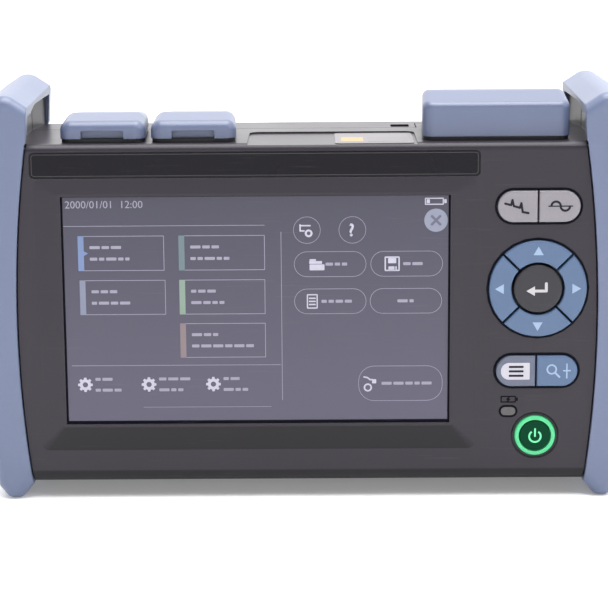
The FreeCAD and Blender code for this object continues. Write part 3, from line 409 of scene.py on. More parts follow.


# the housing's darker tone on faces that lean towards the floor is painted shade
CASE = CaseFinish("case_plastic", (44, 40, 48), roughness=0.33, grain_scale=2400,
                  grain_depth=0.002, tone=0.06, specular=0.24, edge=0.3)
# the lighter, warmer tone towards the window's foot is a painted reflection of the floor
SCREEN = ScreenFinish("touch_glass", (49, 47, 64), roughness=0.32, grain_scale=260,
                      grain_depth=0.0006, tone=0.01, dust=0.0, scratches=0.05, gloss_change=0.02)
BUMPER = Finish("bumper_rubber", (94, 104, 131), roughness=0.36, grain_scale=2800,
                grain_depth=0.006, tone=0.03, edge=0.6)
COVER = Finish("cover_plastic", (90, 99, 125), roughness=0.33, grain_scale=2800,
               grain_depth=0.004, tone=0.03, edge=0.3)
SEAL = Finish("seal_rubber", (26, 26, 29), roughness=0.7, grain_scale=1800)
BLUE_KEY = KeyFinish("blue_key", (71, 93, 125), roughness=0.38)
WARM_KEY = KeyFinish("warm_key", (127, 123, 130))
MENU_KEY = KeyFinish("menu_key", (85, 91, 109))
DARK_KEY = KeyFinish("dark_key", (38, 37, 43), specular=0.35)
POWER_KEY = KeyFinish("power_key", (8, 54, 34), dust=0.0, glow=0.18, specular=0.04, edge=0.0)
RING_LIGHT = Finish("ring_light", (62, 176, 116), roughness=0.3, tone=0.1, glow=0.24,
                    grain_scale=600, grain_depth=0.004, dust=0.0)
LIGHT_PIPE = Finish("clear_plastic", (70, 66, 68), roughness=0.25, grain_depth=0.003)
STRIP = Finish("strip_plastic", (20, 18, 24), roughness=0.28, grain_scale=3600,
               grain_depth=0.003, dust=0.0, specular=0.12)
LABEL = Finish("label_foil", (104, 98, 102), roughness=0.4, grain_scale=1500, grain_depth=0.004)
STEEL = MetalFinish("screw_steel", (120, 120, 124), roughness=0.32, grain_depth=0.004,
                    scratches=0.8)
SOCKET = MetalFinish("socket_metal", (186, 186, 190), roughness=0.28, scratches=0.6)
BRASS = MetalFinish("plated_brass", (196, 188, 164))
NICKEL = MetalFinish("adapter_metal", (192, 190, 184), roughness=0.25)
CAST = MetalFinish("cast_aluminium", (158, 160, 164), roughness=0.5, grain_scale=1200,
                   grain_depth=0.03)
SHEET = MetalFinish("sheet_metal", (172, 172, 176), roughness=0.35, grain_depth=0.004)
CONTACT = MetalFinish("contact_metal", (214, 184, 110), roughness=0.25, grain_depth=0.02)
BLUE_ADAPTER = Finish("adapter_plastic", (46, 92, 172), roughness=0.35, grain_depth=0.006)
BOARD = Finish("circuit_board", (26, 84, 52), roughness=0.35, grain_scale=1800,
               grain_depth=0.01, coat=0.3)
BLACK = Finish("black_plastic", (30, 30, 33), roughness=0.5)
FIBRE = Finish("fibre_jacket", (228, 204, 92), roughness=0.35, grain_scale=700, grain_depth=0.05)
WRAP = Finish("battery_wrap", (56, 66, 92), roughness=0.3, grain_depth=0.006)
PRINT_WHITE = PrintFinish("print_white", (176, 172, 176))
PRINT_DARK = PrintFinish("print_dark", (26, 26, 34), specular=0.15)
PRINT_PALE = PrintFinish("print_pale", (176, 174, 184))
PRINT_SKY = PrintFinish("print_sky", (138, 158, 186))
PRINT_SHADOW = PrintFinish("print_shadow", (18, 16, 20), roughness=0.6, specular=0.04)
POWER_MARK = PrintFinish("power_mark", (90, 200, 140), roughness=0.4, glow=0.55)
# painted shade round the keys and the charge light, and the window's dark edge, which is partly painted
# shade
DARK_BORDER_AND_SHADE = PrintFinish("dark_border_and_painted_shade", (14, 15, 24), roughness=0.6, specular=0.04)
STRIP_RIM = PrintFinish("strip_rim", (30, 29, 33), roughness=0.35)
LABEL_TAN = PrintFinish("label_tan", (160, 126, 72), roughness=0.4)
LABEL_GREY = PrintFinish("label_grey", (96, 94, 98), roughness=0.4)
CERAMIC = PrintFinish("white_ceramic", (236, 234, 228), roughness=0.2)
SCREEN_LINE = ScreenInk("screen_line", (136, 132, 152))
SCREEN_WORD = ScreenInk("screen_word", (136, 133, 150))
SCREEN_SIGN = ScreenInk("screen_sign", (172, 170, 186))
SCREEN_BUTTON = ScreenInk("screen_button", (122, 126, 144))
SCREEN_SHADE = ScreenInk("screen_shade", (84, 84, 104))

WEARERS: tuple[tuple[Finish, str], ...] = (
    (CASE, "front_case rear_case battery_door kickstand"),
    (SEAL, "case_seal display_gasket usb_cover_seal power_socket_cover_seal optical_port_cover_seal"),
    (BUMPER, "right_bumper left_bumper"),
    (COVER, "usb_cover power_socket_cover optical_port_cover"),
    (SCREEN, "touch_panel"), (STRIP, "name_strip"), (LABEL, "label_plate"),
    (BLACK, "lcd_module fibre_tray"), (SHEET, "display_chassis key_domes"),
    (BRASS, "board_standoffs"), (BOARD, "key_board main_board"), (RING_LIGHT, "power_light_ring"),
    (LIGHT_PIPE, "charge_light_pipe"), (SOCKET, "usb_socket power_socket"),
    (BLUE_ADAPTER, "otdr_port_adapter"), (NICKEL, "laser_port_adapter"), (CAST, "optical_module"),
    (FIBRE, "fibre_coil"), (WRAP, "battery_pack"), (CONTACT, "battery_contacts"),
    (STEEL, "case_screws battery_door_screws kickstand_pin"),
    (STEEL, "usb_cover_pin power_socket_cover_pin optical_port_cover_pin"),
    (WARM_KEY, "real_time_key average_key"), (MENU_KEY, "menu_key"), (DARK_KEY, "enter_key"),
    (BLUE_KEY, "zoom_key right_key up_key left_key down_key"), (POWER_KEY, "power_key"),
)


def dress_nodes() -> None:
    """Give every carried-over node its finish."""
    finishes = {name: finish for finish, names in WEARERS for name in names.split()}
    for name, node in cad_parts.items():
        node.data.materials.clear()
        node.data.materials.append(finishes[name].material())
        LOG.info("%s wears %s", name, finishes[name].name)


# ---- modelling helpers
def deselect() -> None:
    """Leave nothing selected."""
    bpy.ops.object.select_all(action="DESELECT")


def active() -> Mesh:
    """The piece that was made last."""
    return bpy.context.view_layer.objects.active


def pick(*pieces: Mesh) -> None:
    """Select some pieces and nothing else, and make the first one active.

    Args:
        pieces: the pieces.
    """
    deselect()
    for piece in pieces:
        piece.select_set(True)
    bpy.context.view_layer.objects.active = pieces[0]


def fix_place() -> None:
    """Put the selected pieces' places, turns and sizes into their meshes."""
    bpy.ops.object.transform_apply(location=True, rotation=True, scale=True)


def pick_vertices(wanted: Callable[[Vector], bool]) -> None:
    """Select the vertices of the piece in edit mode whose place passes a test.

    Args:
        wanted: test on a vertex's place.
    """
    bpy.ops.mesh.select_mode(type="VERT")
    edit = bmesh.from_edit_mesh(active().data)
    for vertex in edit.verts:
        vertex.select_set(wanted(vertex.co))
    edit.select_flush_mode()
    bmesh.update_edit_mesh(active().data)


def join_pieces(pieces: Sequence[Mesh]) -> Mesh:
    """Join several meshes into one.

    Args:
        pieces: the meshes.

    Returns:
        The joined mesh.
    """
    pick(*pieces)
    if len(pieces) > 1:
        bpy.ops.object.join()
    return active()


def copied(piece: Mesh, shift: Point = (0.0, 0.0), degrees: float = 0.0,
           about: Point = (0.0, 0.0)) -> Mesh:
    """Copy a piece, with its own mesh, within the upright plane that it lies in.

    Args:
        piece: the piece that was modelled.
        shift: how far the copy goes across and up.
        degrees: how far it turns, from the right and upwards.
        about: the point that it turns about, across and up.

    Returns:
        The copy.
    """
    pick(piece)
    bpy.ops.object.duplicate()
    centre = Matrix.Translation(Vector((about[0], 0.0, about[1])) * MM)
    turn = centre @ Matrix.Rotation(math.radians(-degrees), 4, "Y") @ centre.inverted()
    move = Matrix.Translation(Vector((shift[0], 0.0, shift[1])) * MM)
    active().matrix_world = move @ turn @ active().matrix_world
    fix_place()
    return active()


def with_copies(piece: Mesh, shifts: Sequence[Point]) -> list[Mesh]:
    """A piece and one copy of it for each shift."""
    return [piece, *(copied(piece, shift) for shift in shifts)]


def surface_y(node: str, x: float, z: float) -> float:
    """Place along Y where a CAD node's front face lies, at a place across and a height."""
    start = Vector((x, span(node, 1)[0] - AHEAD, z)) * MM
    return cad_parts[node].ray_cast(start, Vector((0.0, 1.0, 0.0)))[1].y / MM


def opening(node: str, x: float, z: float, depth: float) -> tuple[float, ...]:
    """Edges of an opening in a CAD node's front wall.

    Args:
        node: name of the node.
        x: a place inside the opening.
        z: its height.
        depth: how far behind the node's foremost point the wall is met.

    Returns:
        Left, right, lower and upper edge.
    """
    start = Vector((x, span(node, 1)[0] + depth, z)) * MM
    ways = ((-1.0, 0.0, 0.0), (1.0, 0.0, 0.0), (0.0, 0.0, -1.0), (0.0, 0.0, 1.0))
    left, right, foot, head = (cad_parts[node].ray_cast(start, Vector(way))[1] for way in ways)
    return left.x / MM, right.x / MM, foot.z / MM, head.z / MM


def block(low: Sequence[float], high: Sequence[float], edge: float, segments: int) -> Mesh:
    """Block with rounded edges.

    Args:
        low: its lowest corner.
        high: its highest corner.
        edge: radius of its edges.
        segments: steps of each rounding.

    Returns:
        The new mesh.
    """
    deselect()
    bpy.ops.mesh.primitive_cube_add(size=1.0, location=[(a + b) / 2 * MM for a, b in zip(low, high)])
    active().scale = [(b - a) * MM for a, b in zip(low, high)]
    bpy.ops.object.transform_apply(scale=True)
    bpy.ops.object.mode_set(mode="EDIT")
    bpy.ops.mesh.select_all(action="SELECT")
    bpy.ops.mesh.bevel(offset=edge * MM, segments=segments)
    bpy.ops.object.mode_set(mode="OBJECT")
    return active()


def settle(pieces: Sequence[Mesh], name: str, finish: Finish, body: str) -> None:
    """Make one piece of some meshes, dress it and let it ride on a body.

    Args:
        pieces: the modelled meshes.
        name: the piece's name.
        finish: its surface.
        body: name of the CAD body that carries it.
    """
    piece = join_pieces(pieces)
    piece.name = name
    piece.data.name = name
    piece.data.materials.clear()
    piece.data.materials.append(finish.material())
    pick(piece)
    fix_place()
    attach(piece, body)
    LOG.info("%s rides on %s", name, body)


class Shape(Enum):
    """How a mark is made: by which method of its plane, or as a copy of the mark before it."""

    PANEL = "panel"
    DISC = "disc"
    ARC = "arc"
    STROKES = "strokes"
    FIGURES = "figures"
    COPY = "copy"


PANEL, DISC, ARC, STROKES, FIGURES, COPY = Shape
Mark = tuple[object, ...]
Drawing = tuple[Mark, ...]


class Facing(Enum):
    """Which way a plane of marks faces."""

    FRONT = 0
    TOP = 1


@dataclass(frozen=True)
class FacePlane:
    """Plane that marks are laid on: its place along Y where it faces the user, or its height."""

    level: float
    thick: float = 0.06
    facing: Facing = Facing.FRONT
    step: float = 0.008
    corner_steps: int = 6
    wide_corner_steps: int = 10
    text_steps: int = 3
    arc_step: float = 8.0
    stroke_round: float = 0.45
    near: float = 0.01

    def raised(self, steps: float) -> "FacePlane":
        """The same plane a little prouder, so that marks that cross don't share a face."""
        away = -self.step if self.facing is Facing.FRONT else self.step
        return replace(self, level=self.level + steps * away)

    def panel(self, x: float, z: float, width: float, height: float, radius: float = 0.0,
              line: float = 0.0, tilt: float = 0.0, left_round: float = 0.0) -> Mesh:
        """Flat rectangle with round corners, or only its outline.

        Args:
            x: middle across.
            z: middle height.
            width: size across.
            height: size upwards.
            radius: corner radius.
            line: width of the outline; 0 fills the rectangle.
            tilt: turn within the plane, in degrees.
            left_round: a larger radius for the two left corners.

        Returns:
            The new mesh.
        """
        deselect()
        bpy.ops.mesh.primitive_plane_add(size=1.0, location=(0, 0, 0))
        active().scale = (width * MM, height * MM, 1.0)
        bpy.ops.object.transform_apply(scale=True)
        bpy.ops.object.mode_set(mode="EDIT")
        if left_round > 0:
            pick_vertices(lambda place: place.x < 0)
            bpy.ops.mesh.bevel(offset=left_round * MM, segments=self.wide_corner_steps,
                               affect="VERTICES")
            pick_vertices(lambda place: place.x > (width / 2 - self.near) * MM)
        else:
            bpy.ops.mesh.select_all(action="SELECT")
        if radius > 0:
            bpy.ops.mesh.bevel(offset=radius * MM, segments=self.corner_steps, affect="VERTICES")
        return self._stand(x, z, tilt, line)

    def disc(self, x: float, z: float, radius: float, corners: int = 40, line: float = 0.0,
             tilt: float = 0.0) -> Mesh:
        """Flat disc, ring or regular polygon.

        Args:
            x: middle across.
            z: middle height.
            radius: outer radius.
            corners: number of corners.
            line: width of the outline; 0 fills it.
            tilt: turn within the plane, in degrees.

        Returns:
            The new mesh.
        """
        deselect()
        bpy.ops.mesh.primitive_circle_add(vertices=corners, radius=radius * MM, fill_type="NGON",
                                          location=(0, 0, 0))
        bpy.ops.object.mode_set(mode="EDIT")
        return self._stand(x, z, tilt, line)

    def arc(self, x: float, z: float, radius: float, line: float, start: float, sweep: float) -> Mesh:
        """Part of a ring.

        Args:
            x: middle across.
            z: middle height.
            radius: radius of its middle line.
            line: width of the line.
            start: first angle in degrees, from the right and upwards.
            sweep: angle covered in degrees.

        Returns:
            The new mesh.
        """
        deselect()
        bpy.ops.mesh.primitive_plane_add(size=line * MM, location=(radius * MM, line * MM / 2, 0))
        bpy.ops.object.transform_apply(location=True)
        bpy.ops.object.mode_set(mode="EDIT")
        pick_vertices(lambda place: place.y > line * MM / 2)
        bpy.ops.mesh.delete(type="VERT")
        bpy.ops.mesh.select_all(action="SELECT")
        bpy.ops.mesh.spin(steps=int(sweep / self.arc_step), angle=math.radians(-sweep),
                          center=(0, 0, 0), axis=(0, 0, 1))
        return self._stand(x, z, start, 0.0)

    def strokes(self, x: float, z: float, line: float, *points: Point) -> list[Mesh]:
        """Straight strokes from point to point.

        Args:
            x: place across that the points count from.
            z: height that they count from.
            line: width of the line.
            points: corners of the line, across and up.

        Returns:
            One mesh for each stretch.
        """
        placed = [(x + across, z + up) for across, up in points]
        made = []
        for index, ((x0, z0), (x1, z1)) in enumerate(zip(placed, placed[1:])):
            length = math.dist((x0, z0), (x1, z1)) + line
            tilt = math.degrees(math.atan2(z1 - z0, x1 - x0))
            made.append(self.raised(index).panel((x0 + x1) / 2, (z0 + z1) / 2, length, line,
                                                 line * self.stroke_round, tilt=tilt))
        return made

    def figures(self, x: float, z: float, words: str, size: float, bold: float = 0.0) -> Mesh:
        """Generic figures or signs.

        Args:
            x: left end.
            z: foot of the line.
            words: what is written.
            size: size of the letters.
            bold: how much wider each stroke gets on each side.

        Returns:
            The new mesh.
        """
        deselect()
        bpy.ops.object.text_add(location=(0, 0, 0))
        text = active().data
        text.body, text.offset, text.size = words, bold * MM, size * MM
        text.resolution_u = self.text_steps
        bpy.ops.object.convert(target="MESH")
        bpy.ops.object.mode_set(mode="EDIT")
        return self._stand(x, z, 0.0, 0.0)

    def draw(self, x: float, z: float, drawing: Drawing) -> list[Mesh]:
        """Make a drawing's meshes.

        Args:
            x: place across that the drawing counts from.
            z: height that it counts from.
            drawing: for each mark its shape, the steps it is raised, its place, and what else the
                shape's method takes.

        Returns:
            The meshes.
        """
        made = []
        for shape, steps, across, up, *rest in drawing:
            if shape is COPY:
                made.append(copied(made[-1], (across, up)))
                continue
            mesh = getattr(self.raised(steps), shape.value)(x + across, z + up, *rest)
            made.extend(mesh if isinstance(mesh, list) else [mesh])
        return made

    def _stand(self, x: float, z: float, tilt: float, line: float) -> Mesh:
        """Finish a flat mesh that is in edit mode.

        Args:
            x: its place across.
            z: its height, or its place along Y on a top plane.
            tilt: turn within the plane, in degrees.
            line: width of the outline; 0 keeps it filled.

        Returns:
            The mesh, cut to its outline, thickened, stood up and moved to its place.
        """
        bpy.ops.mesh.select_all(action="SELECT")
        if line > 0:
            bpy.ops.mesh.inset(thickness=line * MM)
            bpy.ops.mesh.delete(type="FACE")
            bpy.ops.mesh.select_all(action="SELECT")
        bpy.ops.mesh.extrude_region_move(TRANSFORM_OT_translate={"value": (0, 0, self.thick * MM)})
        bpy.ops.mesh.select_all(action="SELECT")
        bpy.ops.mesh.normals_make_consistent(inside=False)
        bpy.ops.object.mode_set(mode="OBJECT")
        turn = Matrix.Rotation(math.radians(tilt), 4, "Z")
        place = Vector((x, z, self.level))
        if self.facing is Facing.FRONT:
            turn = Matrix.Rotation(math.radians(90), 4, "X") @ turn
            place = Vector((x, self.level, z))
        active().matrix_world = Matrix.Translation(place * MM) @ turn
        fix_place()
        return active()


# ---- screen picture
class Tab(Enum):
    """Colour of the tab at the left end of a large button on the screen."""

    BLUE = (100, 118, 157)
    SLATE = (112, 117, 138)
    TEAL = (90, 108, 114)
    GREEN = (117, 136, 124)
    RED = (118, 103, 107)


class Sign(Enum):
    """Drawing on a round-ended button, counted from the button's left end."""

    NONE = ()
    FOLDER = ((PANEL, 0, 5.3, 1.2, 1.8, 0.5, 0.15), (PANEL, 1, 6.1, 0.5, 3.6, 0.8, 0.1),
              (PANEL, 0, 6.5, -0.9, 4.2, 1.7, 0.2))
    STORE = ((PANEL, 0, 6.1, 0, 4.3, 4.2, 0.3, 0.4), (PANEL, 0, 6.1, 0.9, 2.3, 1.5, 0.1),
             (PANEL, 0, 5.9, -1.3, 1.7, 1.1, 0.1), (PANEL, 0, 7.2, -1.3, 0.4, 1.1, 0.1))
    SHEET = ((PANEL, 0, 5.1, 0, 3.1, 4.2, 0.3, 0.35), (PANEL, 0, 5.1, 0.9, 1.9, 0.4, 0.1),
             (COPY, 0, 0, -0.9), (COPY, 0, 0, -0.9))
    TRACE = ((STROKES, 0, 0, 0, 0.4, (1.6, 1.9), (2.6, 1.7), (3.3, 1.1), (4.0, 1.1)),
             (DISC, 0, 2.7, -1.2, 1.2, 24, 0.45), (PANEL, 4, 4.5, 0.6, 1.2, 1.2, 0.2))


@dataclass(frozen=True)
class BigButton:
    """Outlined button with a tab and lines that stand for its caption."""

    x: float
    z: float
    tab: Tab
    captions: Point


@dataclass(frozen=True)
class PillButton:
    """Round-ended button with a sign, and the start and length of its caption."""

    x: float
    z: float
    sign: Sign
    caption: Point
    width: float = 20.4
    height: float = 7.3


@dataclass(frozen=True)
class ScreenPicture:
    """Home page on the screen, laid out from the window's lower left corner."""

    line: float = 0.17
    fine_line: float = 0.136
    corner_round: float = 0.1
    dashes: tuple[float, ...] = (1.5, 2.1, 2.9)
    dash_height: float = 0.85
    dash_round: float = 0.2
    dash_gap: float = 0.5
    least_rest: float = 0.9
    button_width: float = 24.3
    button_height: float = 10.0
    button_caption: Point = (3.3, 1.7)
    button_caption_step: float = 3.3
    tab_width: float = 1.65
    tab_steps: float = 2.5
    tab_arrow: float = 1.1
    tab_arrow_gap: float = 0.1
    round_limit: float = 9.0
    round_clear: float = 0.01
    big_buttons: tuple[BigButton, ...] = (
        BigButton(4.4, 44.5, Tab.BLUE, (9.6, 11.2)), BigButton(4.6, 31.8, Tab.SLATE, (8.2, 11.6)),
        BigButton(32.8, 44.5, Tab.TEAL, (8.6, 11.0)), BigButton(32.8, 31.8, Tab.GREEN, (7.0, 9.4)),
        BigButton(32.8, 19.2, Tab.RED, (8.8, 17.6)))
    pill_buttons: tuple[PillButton, ...] = (
        PillButton(65.3, 42.4, Sign.FOLDER, (8.9, 6.6)), PillButton(86.9, 42.4, Sign.STORE, (9.2, 6.2)),
        PillButton(65.3, 31.7, Sign.SHEET, (7.7, 8.6)), PillButton(86.7, 31.7, Sign.NONE, (7.8, 4.6)),
        PillButton(83.4, 6.2, Sign.TRACE, (6.6, 14.6), 24.0, 10.3))
    gears: tuple[tuple[float, float, float], ...] = ((5.4, 6.2, 7.4), (23.6, 9.4, 7.2), (42.0, 4.6, 7.0))
    gear_z: float = 11.4
    gear_radius: float = 1.62
    gear_rim: float = 0.85
    gear_reach: float = 1.75
    gear_tooth: tuple[float, float, float] = (0.7, 0.75, 0.15)
    gear_teeth: int = 8
    gear_caption: Point = (2.9, 1.6)
    header_lines: Drawing = (
        (PANEL, 0, 28.8, 57.3, 56.6, 0.16, 0.05), (PANEL, 0, 31.5, 17.0, 59.6, 0.15, 0.05),
        (PANEL, 0, 40.2, 4.7, 36.6, 0.12, 0.04), (PANEL, 0, 61.7, 31.0, 0.15, 48.8, 0.05),
        (DISC, 0, 69.0, 55.8, 3.85, 40, 0.136), (COPY, 0, 12.8, 0))
    header_words: Drawing = ((FIGURES, 0, 1.0, 62.4, "2000/01/01  12:00", 3.0),)
    header_signs: Drawing = (
        (PANEL, 0, 104.8, 63.8, 5.3, 2.0, 0.2, 0.3), (PANEL, 0, 103.1, 63.8, 0.9, 1.1, 0.1),
        (PANEL, 0, 107.9, 63.8, 0.7, 1.1, 0.15), (DISC, 0, 69.5, 54.9, 1.1, 24, 0.55),
        (STROKES, 0, 69.0, 55.8, 0.4, (-1.9, 1.5), (-1.9, -0.2), (-0.8, -0.2)),
        (STROKES, 3, 69.0, 55.8, 0.4, (-1.9, 1.3), (0.9, 1.3)),
        (FIGURES, 0, 80.7, 54.1, "?", 5.0, 0.12))
    close_button: Drawing = ((DISC, 0, 105.3, 58.4, 3.3),)
    close_cross: Drawing = ((STROKES, 5, 105.3, 58.4, 0.7, (-1.15, -1.15), (1.15, 1.15)),
                            (STROKES, 6, 105.3, 58.4, 0.7, (-1.15, 1.15), (1.15, -1.15)))
    frame_line: float = 0.4
    # width of the band of painted shadow along the window's foot
    foot_shade_line: float = 0.75
    lines: list[Mesh] = field(default_factory=list)
    words: list[Mesh] = field(default_factory=list)
    signs: list[Mesh] = field(default_factory=list)

    @property
    def corner(self) -> Point:
        """Lower left corner of the window."""
        return span("touch_panel", 0)[0], span("touch_panel", 2)[0]

    @property
    def plane(self) -> FacePlane:
        """Plane of the picture's marks, on the window's face."""
        return FacePlane(span("touch_panel", 1)[0] + SUNK)

    def drawn(self, drawing: Drawing) -> list[Mesh]:
        """Meshes of a drawing that counts from the window's corner."""
        return self.plane.draw(*self.corner, drawing)

    def build(self) -> None:
        """Draw the page."""
        self.draw_big_buttons()
        self.draw_pill_buttons()
        self.draw_setup_row()
        self.keep([*self.lines, *self.drawn(self.header_lines)], SCREEN_LINE, "screen_lines")
        self.keep([*self.words, *self.drawn(self.header_words)], SCREEN_WORD, "screen_captions")
        self.keep([*self.signs, *self.drawn(self.header_signs)], SCREEN_SIGN, "screen_signs")
        self.keep(self.drawn(self.close_button), SCREEN_BUTTON, "screen_close_button")
        self.keep(self.drawn(self.close_cross), SCREEN_SHADE, "screen_close_cross")
        self.shade_window_edges()

    def keep(self, marks: list[Mesh], finish: Finish, name: str) -> None:
        """Make one piece of some marks on the window."""
        settle(marks, name, finish, "housing")

    def shade_window_edges(self) -> None:
        """Dark edge along the window's sides, partly the window's dark border and partly painted shade,
        and a wider band of painted shadow along its foot.
        """
        (low, high), (foot, head) = span("touch_panel", 0), span("touch_panel", 2)
        plane = FacePlane(span("touch_panel", 1)[0] + TRIM_SUNK)
        side = plane.panel(low + self.frame_line / 2, (foot + head) / 2, self.frame_line, head - foot,
                           self.corner_round)
        sides = with_copies(side, [(high - low - self.frame_line, 0.0)])
        foot_shade = plane.raised(2).panel((low + high) / 2, foot + self.foot_shade_line / 2, high - low,
                                     self.foot_shade_line, self.corner_round)
        # painted shade along the window's edges, widest at the foot
        self.keep([*sides, foot_shade], DARK_BORDER_AND_SHADE, "window_edge_shade")

    def write(self, x: float, z: float, length: float) -> None:
        """Lay a row of short dashes that stands for a caption.

        Args:
            x: its left end.
            z: its middle height.
            length: its length.
        """
        start = x
        share = random.Random(int(x * 31 + z * 17))
        while start < x + length - self.least_rest:
            dash = min(share.choice(self.dashes), x + length - start)
            self.words.append(self.plane.panel(start + dash / 2, z, dash, self.dash_height,
                                               self.dash_round))
            start += dash + self.dash_gap

    def draw_big_buttons(self) -> None:
        """Draw the outlined buttons with their coloured tabs."""
        left, foot = self.corner
        first, *others = self.big_buttons
        width, height = self.button_width, self.button_height
        outline = self.plane.panel(left + first.x + width / 2, foot + first.z + height / 2, width, height,
                                   self.corner_round, self.line)
        self.lines.extend(with_copies(outline, [(b.x - first.x, b.z - first.z) for b in others]))
        front = self.plane.raised(self.tab_steps)
        across, up = self.button_caption
        for button in self.big_buttons:
            x, middle_z = left + button.x, foot + button.z + height / 2
            marks = [front.panel(x + self.tab_width / 2, middle_z, self.tab_width, height,
                                 self.corner_round)]
            if button.tab is Tab.BLUE:
                marks.append(front.raised(1).disc(x + self.tab_width + self.tab_arrow_gap, middle_z,
                                                  self.tab_arrow, 3, tilt=-90))
            name = f"screen_tab_{button.tab.name.lower()}"
            self.keep(marks, ScreenInk(name, button.tab.value), name)
            for row, length in enumerate(button.captions):
                self.write(x + across, middle_z + up - self.button_caption_step * row, length)

    def draw_pill_buttons(self) -> None:
        """Draw the round-ended buttons with their signs."""
        left, foot = self.corner
        for button in self.pill_buttons:
            x, middle_z = left + button.x, foot + button.z + button.height / 2
            radius = min(button.height, self.round_limit) / 2 - self.round_clear
            self.lines.append(self.plane.panel(x + button.width / 2, middle_z, button.width,
                                               button.height, radius, self.fine_line))
            start, length = button.caption
            self.write(x + start, middle_z, length)
            self.signs.extend(self.plane.draw(x, middle_z, button.sign.value))

    def draw_setup_row(self) -> None:
        """Draw the row of toothed wheels with their captions."""
        left, foot = self.corner
        z = foot + self.gear_z
        first = self.gears[0][0]
        gear = self.gear(left + first, z)
        self.signs.extend(with_copies(gear, [(offset - first, 0.0) for offset, _, _ in self.gears[1:]]))
        across, up = self.gear_caption
        for offset, upper, lower in self.gears:
            self.write(left + offset + across, z + up, upper)
            self.write(left + offset + across, z - up, lower)

    def gear(self, x: float, z: float) -> Mesh:
        """Toothed wheel, whose tooth is modelled once and copied round.

        Args:
            x: its middle across.
            z: its middle height.

        Returns:
            The wheel.
        """
        tooth = self.plane.raised(1).panel(x + self.gear_reach, z, *self.gear_tooth)
        step = 360 / self.gear_teeth
        teeth = [copied(tooth, degrees=step * turn, about=(x, z)) for turn in range(1, self.gear_teeth)]
        return join_pieces([self.plane.disc(x, z, self.gear_radius, 24, self.gear_rim), tooth, *teeth])


# ---- keypad marks
class Way(Enum):
    """Where an arrow key points, as degrees from the right and upwards."""

    RIGHT = 0
    UP = 90
    LEFT = 180
    DOWN = 270


@dataclass(frozen=True)
class KeySign:
    """Drawing printed on a key, counted from the key's middle."""

    key: str
    slot: str
    finish: Finish
    drawing: Drawing


@dataclass(frozen=True)
class KeyMarks:
    """Signs printed on the keys: a bent arrow, a live trace, a wave, bars, a magnifier and more."""

    arrow_place: float = 10.5
    arrow_size: float = 1.65
    patch_shift: float = 0.35
    patch_margin: float = 3.9
    patch_height: float = 4.9
    patch_corner: float = 0.2
    patch_round: float = 2.3
    signs: tuple[KeySign, ...] = (
        KeySign("enter_key", "dark_key", PRINT_WHITE, (
            (STROKES, 0, 0, 0, 0.8, (2.3, 1.5), (2.3, -0.6), (-1.4, -0.6)),
            (DISC, 3, -1.7, -0.6, 1.6, 3, 0, 90))),
        KeySign("real_time_key", "warm_key", PRINT_DARK, (
            (STROKES, 0, 0, 0, 0.62, (-3.1, 0.9), (-1.5, 0.5), (-1.1, 1.9), (-0.7, 0.2), (1.0, -0.3),
             (1.4, 1.0), (1.8, -1.5), (3.4, -1.8)),)),
        KeySign("average_key", "warm_key", PRINT_DARK, (
            (ARC, 0, -1.6, 0.1, 1.3, 0.62, 0, 180), (ARC, 1, 1.0, 0.1, 1.3, 0.62, 180, 180),
            (STROKES, 2, 0, 0, 0.35, (-3.6, 0.1), (3.0, 0.1)))),
        KeySign("menu_key", "menu_key", PRINT_DARK, (
            (PANEL, 5, 0.6, 1.3, 4.2, 0.6, 0.2), (COPY, 0, 0, -1.3), (COPY, 0, 0, -1.3))),
        KeySign("zoom_key", "blue_key", PRINT_SKY, (
            (DISC, 0, -2.0, 0.5, 1.5, 28, 0.45), (STROKES, 1, 0, 0, 0.55, (-0.9, -0.6), (0.2, -1.7)),
            (STROKES, 0, 0, 0, 0.4, (2.3, 2.0), (2.3, -2.0)),
            (STROKES, 1, 0, 0, 0.4, (1.4, 0.1), (3.2, 0.1)))),
        KeySign("power_key", "power_key", POWER_MARK, (
            (ARC, 0, 0, -0.2, 1.65, 0.5, 125, 290), (STROKES, 0, 0, 0, 0.5, (0, 2.0), (0, -0.1)))))

    def face(self, node: str) -> tuple[FacePlane, float, float]:
        """Plane of a key's face, and the key's middle across and up."""
        x, _, z = middle(node)
        return FacePlane(span(node, 1)[0] + SUNK), x, z

    def build(self) -> None:
        """Print every key."""
        self.print_arrows()
        for sign in self.signs:
            if sign.key == "menu_key":
                self.print_menu_patch()
            plane, x, z = self.face(sign.key)
            settle(plane.draw(x, z, sign.drawing), f"{sign.key}_mark", sign.finish, sign.key)

    def print_arrows(self) -> None:
        """Triangles on the four keys round the enter key."""
        _, x, z = self.face("enter_key")
        arrow = self.face("right_key")[0].disc(x + self.arrow_place, z, self.arrow_size, 3, tilt=-90)
        others = {way: copied(arrow, degrees=way.value, about=(x, z)) for way in Way if way.value}
        for way, mark in {Way.RIGHT: arrow, **others}.items():
            node = f"{way.name.lower()}_key"
            settle([mark], f"{node}_mark", PRINT_SKY, node)

    def print_menu_patch(self) -> None:
        """Pale patch under the bars of the left lower key."""
        plane, x, z = self.face("menu_key")
        low, high = span("menu_key", 0)
        patch = plane.panel(x + self.patch_shift, z, high - low - self.patch_margin, self.patch_height,
                            self.patch_corner, left_round=self.patch_round)
        settle([patch], "menu_key_patch", PRINT_PALE, "menu_key")


